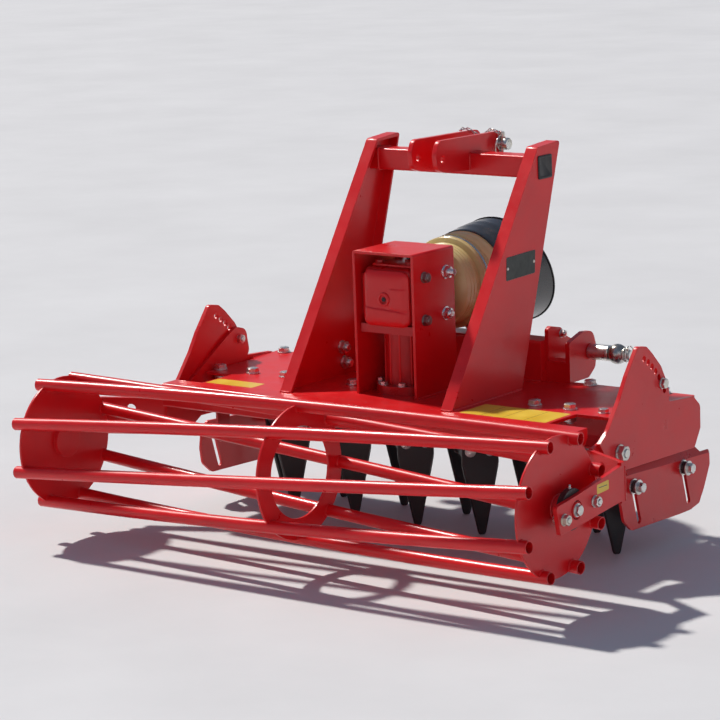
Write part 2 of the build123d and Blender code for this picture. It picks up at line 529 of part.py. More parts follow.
bearings, pivots, qpins = None, None, None
for s, (in0, in1), side_out in ((1, ARM_RIGHT_IN, SIDE_OUT), (-1, ARM_LEFT_IN, SIDE_OUT - SIDE_LEFT_IN)):
    b = rod_x(0, 0, 52, ARM_OUT - ARM_T - 16, ARM_OUT - ARM_T)
    b += plate_x([(-62, -34, 12), (-62, 18, 12), (112, 26, 12), (112, -22, 12)], ARM_OUT - ARM_T - 6, ARM_OUT - ARM_T)
    b -= rod_x(0, 0, AXLE_R + 0.05, 800, 900)
    p = rod_x(PIVOT_Y, PIVOT_Z, PIVOT_R, in0, side_out + 25)
    p += rod_x(PIVOT_Y, PIVOT_Z, 22, side_out, side_out + 4)
    p += hex_x(PIVOT_Y, PIVOT_Z, 36, side_out + 4, side_out + 22)
    # the quadrant bolt: inner end in the arm's lug, head and washer outside the side plate
    q = rod_x(QY, QZ, QUAD_PIN_R, in0 - 16, side_out - SIDE_T - 0.8)
    q += hex_x(QY, QZ, 24, in0 - 13, in0)
    q += rod_x(QY, QZ, 15, side_out + 0.8, side_out + 3.8)
    q += hex_x(QY, QZ, 24, side_out + 3.8, side_out + 13.8)
    if s < 0:
        b, p, q = mirrored(b), mirrored(p), mirrored(q)
    bearings = b if bearings is None else bearings + b
    pivots = p if pivots is None else pivots + p
    qpins = q if qpins is None else qpins + q
parts["roller_bearings"] = bearings
parts["roller_pivot_bolts"] = pivots
parts["quadrant_pins"] = qpins

# ---------------------------------------------------------------- write
boxes = [shape.bounding_box() for shape in parts.values()]
low = [min(getattr(b.min, k) for b in boxes) for k in "XYZ"]
high = [max(getattr(b.max, k) for b in boxes) for k in "XYZ"]
SHIFT_Y = -(low[1] + high[1]) / 2
SHIFT_Z = -low[2]
print("shift", round(SHIFT_Y, 4), round(SHIFT_Z, 4))
print("box", [round(v, 2) for v in low], [round(v, 2) for v in high])

os.makedirs("parts", exist_ok=True)
for name, shape in parts.items():
    export_step(Pos(0, SHIFT_Y, SHIFT_Z) * shape, f"parts/{name}.step")
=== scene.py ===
import json
import math

import bmesh
import bpy
import numpy as np
from mathutils import Matrix, Vector


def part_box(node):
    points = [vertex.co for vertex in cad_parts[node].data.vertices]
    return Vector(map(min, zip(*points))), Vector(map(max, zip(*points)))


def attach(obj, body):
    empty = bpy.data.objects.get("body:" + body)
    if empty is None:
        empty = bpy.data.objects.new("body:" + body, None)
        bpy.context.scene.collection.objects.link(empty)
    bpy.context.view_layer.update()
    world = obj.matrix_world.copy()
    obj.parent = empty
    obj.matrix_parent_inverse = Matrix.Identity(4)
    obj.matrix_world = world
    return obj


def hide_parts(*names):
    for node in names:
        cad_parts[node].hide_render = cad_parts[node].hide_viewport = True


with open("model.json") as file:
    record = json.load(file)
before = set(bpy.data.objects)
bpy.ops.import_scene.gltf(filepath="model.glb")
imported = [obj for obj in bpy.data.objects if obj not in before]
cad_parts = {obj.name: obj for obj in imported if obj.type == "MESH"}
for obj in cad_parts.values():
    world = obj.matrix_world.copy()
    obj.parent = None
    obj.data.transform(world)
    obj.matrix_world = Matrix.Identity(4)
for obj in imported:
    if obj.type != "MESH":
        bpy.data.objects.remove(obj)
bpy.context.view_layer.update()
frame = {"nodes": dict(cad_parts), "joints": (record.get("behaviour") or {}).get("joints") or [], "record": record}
record = frame["record"]
joints = {j["name"]: j for j in frame["joints"]}
AXLE = Vector(joints["roller_turn"]["pos_m"])            # the roller's axle, in the row frame
ROTORS = [Vector(joints[f"rotor_{i}_turn"]["pos_m"]) for i in range(1, 7)]


def P(x, y, z):
    """Millimetres from the roller's axle to metres in the row frame."""
    return Vector((x / 1000.0, y / 1000.0 + AXLE.y, z / 1000.0 + AXLE.z))


def nbox(node):
    """A node's box in millimetres from the roller's axle: (x0, x1, y0, y1, z0, z1)."""
    lo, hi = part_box(node)
    a, b = (lo - AXLE) * 1000, (hi - AXLE) * 1000
    return (lo.x * 1000, hi.x * 1000, a.y, b.y, a.z, b.z)


# ------------------------------------------------------------------ materials
class Nodes:
    def __init__(self, name):
        self.mat = bpy.data.materials.new(name)
        self.mat.use_nodes = True
        self.t = self.mat.node_tree
        self.bsdf = next(n for n in self.t.nodes if n.type == "BSDF_PRINCIPLED")
        self.coord = self.n("ShaderNodeTexCoord").outputs["Object"]

    def n(self, kind, **inputs):
        node = self.t.nodes.new(kind)
        for k, v in inputs.items():
            self.put(node, k, v)
        return node

    def put(self, node, key, value):
        sock = node.inputs[int(key[1:])] if key[0] == "i" and key[1:].isdigit() else node.inputs[key.replace("_", " ")]
        if isinstance(value, bpy.types.NodeSocket):
            self.t.links.new(value, sock)
        else:
            sock.default_value = value

    def noise(self, scale, detail=2.0, rough=0.5, distort=0.0, vec=None):
        n = self.n("ShaderNodeTexNoise", Vector=vec or self.coord, Scale=scale, Detail=detail, Roughness=rough, Distortion=distort)
        return n.outputs["Fac"]

    def math(self, op, a, b=0.0, c=0.0, clamp=False):
        n = self.n("ShaderNodeMath", i0=a, i1=b, i2=c)
        n.operation = op
        n.use_clamp = clamp
        return n.outputs[0]

    def ramp(self, fac, stops):
        n = self.n("ShaderNodeValToRGB", Fac=fac)
        el = n.color_ramp.elements
        while len(el) < len(stops):
            el.new(0.5)
        for e, (pos, col) in zip(el, stops):
            e.position = pos
            e.color = (*col, 1.0) if len(col) == 3 else col
        return n.outputs["Color"]

    def span(self, fac, lo, hi, a=0.0, b=1.0):
        n = self.n("ShaderNodeMapRange", Value=fac, From_Min=lo, From_Max=hi, To_Min=a, To_Max=b)
        n.clamp = True
        return n.outputs["Result"]

    def mix(self, fac, a, b, mode="MIX"):
        n = self.t.nodes.new("ShaderNodeMix")
        n.data_type = "RGBA"
        n.blend_type = mode
        for key, value in ((0, fac), (6, a), (7, b)):
            if isinstance(value, bpy.types.NodeSocket):
                self.t.links.new(value, n.inputs[key])
            else:
                n.inputs[key].default_value = value if key == 0 else (*value[:3], 1.0)
        return n.outputs[2]

    def xyz(self, vec=None):
        n = self.n("ShaderNodeSeparateXYZ", Vector=vec or self.coord)
        return n.outputs

    def stretch(self, sx, sy, sz):
        n = self.n("ShaderNodeMapping", Vector=self.coord)
        n.inputs["Scale"].default_value = (sx, sy, sz)
        return n.outputs[0]

    def up(self):
        g = self.n("ShaderNodeNewGeometry")
        return self.xyz(g.outputs["Normal"])[2]

    def edge(self, radius=0.002, samples=4):
        """1 on flat ground, lower near edges."""
        b = self.n("ShaderNodeBevel", Radius=radius)
        b.samples = samples
        g = self.n("ShaderNodeNewGeometry")
        d = self.n("ShaderNodeVectorMath")
        d.operation = "DOT_PRODUCT"
        self.t.links.new(b.outputs[0], d.inputs[0])
        self.t.links.new(g.outputs["Normal"], d.inputs[1])
        return b.outputs[0], d.outputs["Value"]

    def bump(self, height, strength=0.1, distance=0.001, normal=None):
        n = self.n("ShaderNodeBump", Height=height, Strength=strength, Distance=distance)
        if normal is not None:
            self.t.links.new(normal, n.inputs["Normal"])
        return n.outputs["Normal"]

    def done(self, color=None, rough=None, normal=None, metallic=None, **fixed):
        if color is not None:
            self.put(self.bsdf, "Base Color", color if isinstance(color, bpy.types.NodeSocket) else (*color, 1.0))
        if rough is not None:
            self.put(self.bsdf, "Roughness", rough)
        if metallic is not None:
            self.put(self.bsdf, "Metallic", metallic)
        if normal is not None:
            self.t.links.new(normal, self.bsdf.inputs["Normal"])
        for k, v in fixed.items():
            self.bsdf.inputs[k.replace("_", " ")].default_value = v
        return self.mat


def paint(name, deep, mid, bright, rough=(0.20, 0.33), dust=0.25, coat=0.55, radius=0.0016, chips=0.5):
    m = Nodes(name)
    broad = m.noise(4.0, 4.0, 0.55)
    col = m.ramp(broad, [(0.25, deep), (0.52, mid), (0.80, bright)])
    bev, flat = m.edge(radius)
    # thin paint and small chips along the edges
    wear = m.span(flat, 0.995, 0.90)
    fleck = m.span(m.noise(210.0, 3.0, 0.6), 0.60, 0.66)
    patch = m.span(m.noise(26.0, 2.0, 0.5), 0.56, 0.64)
    chip = m.math("MULTIPLY", m.math("MULTIPLY", wear, fleck), m.math("MULTIPLY", patch, chips), clamp=True)
    col = m.mix(chip, col, (0.16, 0.13, 0.12))
    thin = m.math("MULTIPLY", wear, 0.16)
    col = m.mix(thin, col, (0.80, 0.16, 0.14))
    # fine dust that lies on what faces up, and fine specks all over
    up = m.span(m.up(), 0.35, 0.95)
    grit = m.span(m.noise(60.0, 6.0, 0.7), 0.50, 0.78)
    film = m.span(m.noise(7.0, 3.0, 0.6), 0.42, 0.72)
    lay = m.math("MULTIPLY", m.math("MULTIPLY", up, grit), m.math("MULTIPLY", film, dust), clamp=True)
    specks = m.math("MULTIPLY", m.span(m.noise(420.0, 2.0, 0.5), 0.70, 0.74), 0.35 * dust, clamp=True)
    dirt = m.math("MAXIMUM", lay, specks)
    col = m.mix(dirt, col, (0.55, 0.47, 0.40))
    r = m.span(m.noise(16.0, 5.0, 0.6), 0.3, 0.7, rough[0], rough[1])
    r = m.math("ADD", r, m.math("MULTIPLY", dirt, 0.45), clamp=True)
    peel = m.noise(520.0, 2.0, 0.45)
    wave = m.noise(34.0, 2.0, 0.4)
    nrm = m.bump(wave, 0.10, 0.0012, bev)
    nrm = m.bump(peel, 0.045, 0.0004, nrm)
    nrm = m.bump(chip, 0.30, -0.0003, nrm)
    return m.done(col, r, nrm, metallic=0.0, Coat_Weight=coat, Coat_Roughness=0.13, IOR=1.46)


def metal(name, a, b, rough=(0.22, 0.42), scratches=True, radius=0.0008, tarnish=None, metallic=1.0):
    m = Nodes(name)
    col = m.ramp(m.noise(38.0, 4.0, 0.6), [(0.3, a), (0.7, b)])
    if tarnish:
        col = m.mix(m.span(m.noise(11.0, 3.0, 0.6), 0.5, 0.75), col, tarnish)
    bev, flat = m.edge(radius)
    worn = m.span(flat, 0.99, 0.90)
    col = m.mix(m.math("MULTIPLY", worn, 0.35), col, (0.85, 0.85, 0.83))
    r = m.span(m.noise(90.0, 4.0, 0.6), 0.3, 0.7, rough[0], rough[1])
    nrm = m.bump(m.noise(300.0, 3.0, 0.55), 0.08, 0.0004, bev)
    if scratches:
        nrm = m.bump(m.noise(60.0, 5.0, 0.7, vec=m.stretch(1.0, 9.0, 9.0)), 0.05, 0.0003, nrm)
    return m.done(col, r, nrm, metallic=metallic)


def plastic(name, a, b, rough=(0.3, 0.45), grain=0.12, coat=0.0, grain_scale=420.0):
    m = Nodes(name)
    col = m.ramp(m.noise(9.0, 4.0, 0.6), [(0.3, a), (0.7, b)])
    bev, flat = m.edge(0.0012)
    scuff = m.math("MULTIPLY", m.span(flat, 0.99, 0.90), m.span(m.noise(130.0, 3.0, 0.6), 0.52, 0.70), clamp=True)
    col = m.mix(m.math("MULTIPLY", scuff, 0.35), col, (0.45, 0.42, 0.38))
    film = m.span(m.noise(14.0, 5.0, 0.65), 0.52, 0.80)
    col = m.mix(m.math("MULTIPLY", film, 0.10), col, (0.50, 0.45, 0.38))
    r = m.span(m.noise(30.0, 4.0, 0.6), 0.3, 0.7, rough[0], rough[1])
    nrm = m.bump(m.noise(grain_scale, 3.0, 0.5), grain, 0.0003, bev)
    return m.done(col, r, nrm, metallic=0.0, Coat_Weight=coat, Coat_Roughness=0.08)


RED = paint("red_enamel", (0.60, 0.0040, 0.0065), (0.70, 0.0058, 0.0092), (0.78, 0.0085, 0.012), rough=(0.27, 0.39), dust=0.16, coat=0.12)
# darker copy of the red enamel: its darker base is painted shade for parts that sit in shadow, and it also carries
# heavier dust
RED_DUST_AND_SHADE = paint("red_enamel_dust_and_painted_shade", (0.40, 0.0045, 0.006), (0.50, 0.006, 0.009), (0.60, 0.010, 0.012), rough=(0.24, 0.42), dust=0.4, coat=0.1)
ZINC = metal("zinc_plated_steel", (0.60, 0.60, 0.58), (0.76, 0.76, 0.73), tarnish=(0.62, 0.58, 0.48))
STEEL = metal("machined_steel", (0.42, 0.42, 0.41), (0.58, 0.58, 0.56), rough=(0.18, 0.34), tarnish=(0.30, 0.26, 0.20))
DULL = metal("weathered_zinc", (0.20, 0.17, 0.16), (0.34, 0.31, 0.30), rough=(0.32, 0.52), tarnish=(0.34, 0.10, 0.09))
BRIGHT = metal("bright_zinc", (0.74, 0.75, 0.76), (0.86, 0.87, 0.88), rough=(0.16, 0.32))
CAST = paint("dark_casting", (0.012, 0.012, 0.013), (0.020, 0.019, 0.019), (0.032, 0.030, 0.028), rough=(0.35, 0.60), dust=0.5, coat=0.1, chips=0.8)
FORGED = paint("black_tines", (0.006, 0.006, 0.007), (0.010, 0.010, 0.011), (0.018, 0.017, 0.017), rough=(0.30, 0.50), dust=0.35, coat=0.25, chips=0.9)
BLACK = plastic("black_gloss_plastic", (0.010, 0.010, 0.011), (0.020, 0.020, 0.021), rough=(0.16, 0.30), grain=0.04, coat=0.4)
CAP = plastic("black_cap_plastic", (0.012, 0.012, 0.013), (0.022, 0.022, 0.023), rough=(0.38, 0.55), grain=0.20)
STRAW = plastic("straw_plastic", (0.66, 0.53, 0.21), (0.78, 0.66, 0.30), rough=(0.28, 0.42), grain=0.06, coat=0.15)
# darker copy of the straw plastic: painted shadow on the guard's collar, where the crossbar's shadow falls
STRAW_PAINTED_SHADOW = plastic("straw_plastic_painted_shadow", (0.56, 0.43, 0.16), (0.68, 0.54, 0.23), rough=(0.26, 0.42), grain=0.06, coat=0.15)


def decal(name, a, b):
    m = Nodes(name)
    col = m.ramp(m.noise(12.0, 3.0, 0.6), [(0.3, a), (0.7, b)])
    rub = m.math("MULTIPLY", m.span(m.noise(75.0, 5.0, 0.7), 0.60, 0.72), 0.35)
    col = m.mix(rub, col, (0.62, 0.50, 0.28))
    nrm = m.bump(m.noise(70.0, 3.0, 0.5), 0.10, 0.0004)
    return m.done(col, m.span(m.noise(24.0), 0.3, 0.7, 0.28, 0.42), nrm, metallic=0.0, Coat_Weight=0.3, Coat_Roughness=0.12)


YELLOW = decal("yellow_film", (0.80, 0.52, 0.035), (0.88, 0.62, 0.06))
INK = decal("dark_film", (0.030, 0.028, 0.022), (0.045, 0.04, 0.03))
PLATE = metal("dark_plate", (0.030, 0.036, 0.034), (0.055, 0.062, 0.058), rough=(0.30, 0.45), metallic=0.6)


# ------------------------------------------------------------------ mesh building
def basis(origin, z, x=None):
    """Matrix whose Z is z and whose X is near x, at origin (metres)."""
    z = Vector(z).normalized()
    x = Vector(x) if x is not None else (Vector((0, 0, 1)) if abs(z.z) < 0.9 else Vector((1, 0, 0)))
    x = (x - z * x.dot(z)).normalized()
    y = z.cross(x)
    m = Matrix((x, y, z)).transposed().to_4x4()
    m.translation = origin
    return m


class Mesh:
    """Gathers pieces given in millimetres in a local frame, and becomes one object."""

    def __init__(self):
        self.v, self.f, self.mi, self.mats, self.sm = [], [], [], [], []

    def add(self, verts, faces, M, mat, smooth=True):
        if mat not in self.mats:
            self.mats.append(mat)
        k, base = self.mats.index(mat), len(self.v)
        for p in verts:
            self.v.append(M @ (Vector(p) / 1000.0))
        for f in faces:
            self.f.append([base + i for i in f])
            self.mi.append(k)
            self.sm.append(smooth)

    # profile rows are (radius, height); a radius of 0 closes the end
    def lathe(self, rows, M, mat, n=32, arc=None, smooth=True):
        verts, faces, rings = [], [], []
        full = arc is None
        steps = n if full else n + 1
        for r, h in rows:
            if r <= 1e-6:
                rings.append([len(verts)])
                verts.append((0, 0, h))
            else:
                ring = []
                for i in range(steps):
                    a = 2 * math.pi * i / n if full else arc[0] + (arc[1] - arc[0]) * i / n
                    ring.append(len(verts))
                    verts.append((r * math.cos(a), r * math.sin(a), h))
                rings.append(ring)
        for a, b in zip(rings, rings[1:]):
            m = len(a) if len(a) > 1 else len(b)
            for i in range(m if full else m - 1):
                j = (i + 1) % m
                if len(a) == 1 and len(b) == 1:
                    continue
                if len(a) == 1:
                    faces.append((a[0], b[j], b[i]))
                elif len(b) == 1:
                    faces.append((a[i], a[j], b[0]))
                else:
                    faces.append((a[i], a[j], b[j], b[i]))
        self.add(verts, faces, M, mat, smooth)

    def hexagon(self, across, height, M, mat, hole=0.0, base=0.0):
        """Chamfered hexagon head or nut standing on Z = base."""
        verts, faces = [], []
        n = 48
        half = across / 2
        r_in = max(hole, 0.0)
        rows = []
        for i in range(n):
            a = 2 * math.pi * i / n
            k = (a % (math.pi / 3)) - math.pi / 6
            rh = half / math.cos(k)
            drop = max(0.0, rh - half * 0.96) * 0.62
            rows.append((a, rh, height - drop))
        for (a, rh, h) in rows:
            c, s = math.cos(a), math.sin(a)
            verts += [(rh * c, rh * s, base), (rh * c, rh * s, base + h - 0.0), (half * 0.93 * c, half * 0.93 * s, base + height)]
            verts.append((r_in * c, r_in * s, base + height - (0.0 if r_in == 0 else 0.0)))
        centre = None
        if r_in == 0:
            centre = len(verts)
            verts.append((0, 0, base + height))
        for i in range(n):
            j = (i + 1) % n
            a, b = 4 * i, 4 * j
            faces.append((a, b, b + 1, a + 1))
            faces.append((a + 1, b + 1, b + 2, a + 2))
            if r_in == 0:
                faces.append((a + 2, b + 2, centre))
            else:
                faces.append((a + 2, b + 2, b + 3, a + 3))
        self.add(verts, faces, M, mat, False)

    def washer(self, r, hole, t, M, mat, base=0.0, n=36):
        b = min(0.5, t * 0.25)
        self.lathe([(hole, base), (r - b, base), (r, base + b), (r, base + t - b), (r - b, base + t), (hole, base + t)], M, mat, n, smooth=False)

    def thread(self, r, z0, z1, M, mat, pitch=2.0):
        rows, z = [], z0
        while z < z1 - pitch:
            rows += [(r, z), (r - 0.55 * pitch * 0.6, z + pitch / 2)]
            z += pitch
        rows += [(r, z), (r - 1.2, z1), (0, z1)]
        self.lathe(rows, M, mat, 20, smooth=False)

    def bolt(self, at, axis, size=16, mat=None, spin=0.0, washer=True, stud=0.0, head=None, wt=3.0):
        """Hexagon head on a washer, from the surface at a point outwards; stud shows a thread end past a nut."""
        mat = mat or ZINC
        af = {6: 10, 8: 13, 10: 17, 12: 19, 16: 24, 20: 30, 24: 36}[size]
        M = basis(at, axis) @ Matrix.Rotation(spin, 4, "Z")
        z = 0.0
        if washer:
            self.washer(af * 0.64, size / 2, wt, M, mat)
            z = wt
        h = head or size * 0.64
        self.hexagon(af, h, M, mat, base=z, hole=(size * 0.5 if stud else 0.0))
        if stud:
            self.thread(size * 0.49, z + h - 0.3, z + h + stud, M, mat)
        else:
            self.lathe([(af * 0.30, z + h), (af * 0.27, z + h + 0.4), (0, z + h + 0.4)], M, mat, 20)

    def tube(self, pts, r, mat, n=12, closed=False, M=None, caps=True):
        """Round bar along points (metres unless M is given); r in millimetres, one or one for each point."""
        pts = [Vector(p) for p in pts] if M is None else [M @ (Vector(p) / 1000.0) for p in pts]
        m = len(pts)
        rad = [r] * m if not hasattr(r, "__len__") else list(r)
        t0 = (pts[1] - pts[0]).normalized()
        x = t0.orthogonal().normalized()
        verts, faces = [], []
        for i, p in enumerate(pts):
            if closed:
                t = (pts[(i + 1) % m] - pts[i - 1]).normalized()
            else:
                t = (pts[min(i + 1, m - 1)] - pts[max(i - 1, 0)]).normalized()
            x = (x - t * x.dot(t)).normalized()
            y = t.cross(x)
            for k in range(n):
                a = 2 * math.pi * k / n
                verts.append((p + (x * math.cos(a) + y * math.sin(a)) * (rad[i] / 1000.0)) * 1000.0)
        rows = m if closed else m - 1
        shift = 0
        if closed:
            # the frame may come back turned; join each vertex to its nearest one
            a0 = Vector(verts[(m - 1) * n])
            shift = min(range(n), key=lambda k: (Vector(verts[k]) - a0).length)
        for i in range(rows):
            j = (i + 1) % m
            s = shift if (closed and i == m - 1) else 0
            for k in range(n):
                faces.append((i * n + k, i * n + (k + 1) % n, j * n + (k + 1 + s) % n, j * n + (k + s) % n))
        if caps and not closed:
            faces.append(tuple(range(n))[::-1])
            faces.append(tuple((m - 1) * n + k for k in range(n)))
        self.add(verts, faces, Matrix.Identity(4), mat)

    def weld(self, pts, r=3.0, mat=None, closed=False, step=1.7, n=8):
        """Weld bead with its ripples along points in metres."""
        pts = [Vector(p) for p in pts]
        if closed:
            pts = pts + [pts[0]]
        out, rad, run = [], [], 0.0
        for a, b in zip(pts, pts[1:]):
            d = (b - a).length * 1000
            m = max(1, int(d / step))
            for i in range(m):
                out.append(a.lerp(b, i / m))
                s = run + d * i / m
                rad.append(r * (1 + 0.10 * math.sin(s * 2 * math.pi / (step * 2.6)) + 0.06 * math.sin(s * 0.43 + 1.0)))
            run += d
        if not closed:
            out.append(pts[-1])
            rad.append(r * 0.7)
            rad[0] = r * 0.7
        self.tube(out, rad, mat or RED, n, closed=closed)

    def solid(self, pts, z0, z1, M, mat, bevel=0.0, holes=(), smooth=False):
        """Plate from a closed outline, from z0 to z1, its edges eased when bevel is given."""
        bm = bmesh.new()
        ring = [bm.verts.new((p[0], p[1], z0)) for p in pts]
        face = bm.faces.new(ring)
        if face.normal.z == 0:
            bm.normal_update()
        ext = bmesh.ops.extrude_face_region(bm, geom=[face])
        bmesh.ops.translate(bm, vec=(0, 0, z1 - z0), verts=[g for g in ext["geom"] if isinstance(g, bmesh.types.BMVert)])
        bmesh.ops.recalc_face_normals(bm, faces=bm.faces)
        if bevel > 0:
            bmesh.ops.bevel(bm, geom=[e for e in bm.edges if e.calc_face_angle(0) > 0.45], offset=bevel, segments=2, profile=0.6, affect="EDGES")
        bm.verts.ensure_lookup_table()
        bm.verts.index_update()
        self.add([v.co[:] for v in bm.verts], [[v.index for v in f.verts] for f in bm.faces], M, mat, smooth)
        bm.free()

    def block(self, x0, x1, y0, y1, z0, z1, M, mat, bevel=1.0, segments=2):
        bm = bmesh.new()
        bmesh.ops.create_cube(bm, size=1.0)
        for v in bm.verts:
            v.co = ((x0 + x1) / 2 + v.co.x * (x1 - x0), (y0 + y1) / 2 + v.co.y * (y1 - y0), (z0 + z1) / 2 + v.co.z * (z1 - z0))
        if bevel > 0:
            bmesh.ops.bevel(bm, geom=list(bm.edges), offset=bevel, segments=segments, profile=0.5, affect="EDGES")
        bm.verts.index_update()
        self.add([v.co[:] for v in bm.verts], [[v.index for v in f.verts] for f in bm.faces], M, mat, False)
        bm.free()

    def make(self, name, body, replaces=(), angle=35.0):
        me = bpy.data.meshes.new(name)
        me.from_pydata([tuple(v) for v in self.v], [], self.f)
        for m in self.mats:
            me.materials.append(m)
        me.polygons.foreach_set("material_index", self.mi)
        me.validate()
        bm = bmesh.new()
        bm.from_mesh(me)
        bmesh.ops.recalc_face_normals(bm, faces=bm.faces)
        lim = math.radians(angle)
        for f in bm.faces:
            f.smooth = True
        for e in bm.edges:
            e.smooth = e.calc_face_angle(0.0) < lim
        bm.to_mesh(me)
        bm.free()
        ob = bpy.data.objects.new(name, me)
        bpy.context.scene.collection.objects.link(ob)
        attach(ob, body)
        if replaces:
            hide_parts(*replaces)
        return ob


def at(x, y, z):
    """Frame at a place given in millimetres from the roller's axle, axes as the row's."""
    return Matrix.Translation(P(x, y, z))


def arc_pts(c, u, v, r, a0, a1, n):
    """Points in metres on an arc round c (metres) in the plane of u and v; r in millimetres."""
    u, v = Vector(u), Vector(v)
    return [c + (u * math.cos(math.radians(a0 + (a1 - a0) * i / n)) + v * math.sin(math.radians(a0 + (a1 - a0) * i / n))) * (r / 1000.0) for i in range(n + 1)]


# ------------------------------------------------------------------ carried-over nodes
FINISH = {"red_paint": RED, "zinc_plated": ZINC, "black_plastic": BLACK, "straw_plastic": STRAW,
          "bright_steel": STEEL, "dark_cast": CAST, "black_steel": FORGED}
slot_of = {s["node"]: s["material_slot"] for s in record["subparts"]}
# the gear trough and gearbox take the darker red: painted shade where they sit under the deck and the bracket
SPECIAL = {"gear_trough": RED_DUST_AND_SHADE, "gearbox": RED_DUST_AND_SHADE, "rear_beam": RED, "crossbar_caps": CAP}
for node, ob in frame["nodes"].items():
    mat = SPECIAL.get(node, FINISH[slot_of[node]])
    ob.data.materials.clear()
    ob.data.materials.append(mat)

# eased edges on the plates and folded pieces
for node in ("side_plate_right", "side_plate_left", "upright_right", "upright_left", "roller_arm_right", "roller_arm_left",
             "deflector_right", "deflector_left", "top_link_ears", "hitch_lugs", "roller_ends", "roller_ring", "gearbox_bracket"):
    ob = frame["nodes"][node]
    w = ob.modifiers.new("weld", "WELD")
    w.merge_threshold = 0.00002
    b = ob.modifiers.new("ease", "BEVEL")
    b.width, b.segments, b.limit_method, b.angle_limit = 0.0011, 2, "ANGLE", math.radians(40)
    b.harden_normals = False
    b.use_clamp_overlap = True

# ------------------------------------------------------------------ carried-over nodes' companions
X, Y, Z = Vector((1, 0, 0)), Vector((0, 1, 0)), Vector((0, 0, 1))
up_r, up_l = nbox("upright_right"), nbox("upright_left")
side_r, side_l = nbox("side_plate_right"), nbox("side_plate_left")
defl_r, defl_l = nbox("deflector_right"), nbox("deflector_left")
arm_r, arm_l = nbox("roller_arm_right"), nbox("roller_arm_left")
deck = nbox("deck_plate")
bracket = nbox("gearbox_bracket")
bar = nbox("crossbar")
lugs = nbox("hitch_lugs")
DECK_Z = deck[5]
UP_R, UP_L = up_r[1], up_l[0]                      # outer faces of the uprights
SIDE_R, SIDE_L = side_r[1], side_l[0]
PIV = ((Vector(joints["roller_depth"]["pos_m"]) - AXLE) * 1000)
rotor_x = [p.x * 1000 for p in ROTORS]
ROT_Y = (ROTORS[0] - AXLE).y * 1000

# ------------------------------------------------------------------ flange bolts on the deck
m = Mesh()
rng = np.random.RandomState(4)
rows = [(499.0, x) for x in (-655, -537, -419, -318, -183, 171, 419, 530)]
rows += [(790.0, x) for x in (-655, -537, -419, 407, 525, 640)]
for (y, x) in rows:
    m.bolt(P(x, y, DECK_Z), Z, 20, spin=rng.uniform(0, 1), wt=3.5, head=12.0)
m.bolt(P(634, 499, DECK_Z), Z, 16, spin=0.4, wt=3.0, head=9.0)
m.make("deck_bolts", "frame")

# nuts below the flange's edge
m = Mesh()
flange_z = nbox("gear_trough")[5] - 16
for (y, x) in rows:
    m.bolt(P(x, y, flange_z + 8), -Z, 20, spin=rng.uniform(0, 1), stud=5, head=14)
m.make("flange_nuts", "frame")

# ------------------------------------------------------------------ rotor bearings' flanges under the trough
m = Mesh()
# the flanges take the darker red: painted shade under the trough
for x in rotor_x:
    M = basis(P(x, ROT_Y, 14), -Z)
    m.lathe([(60, 0), (84, 0), (86, 2), (86, 6), (84, 8), (68, 9), (60, 12), (58, 12)], M, RED_DUST_AND_SHADE, 48)
    for k in range(6):
        t = math.radians(60 * k + 30)
        m.bolt(P(x + 76 * math.cos(t), ROT_Y + 76 * math.sin(t), 6), -Z, 8, spin=t, wt=1.6, head=5)
m.make("rotor_bearing_flanges", "frame")

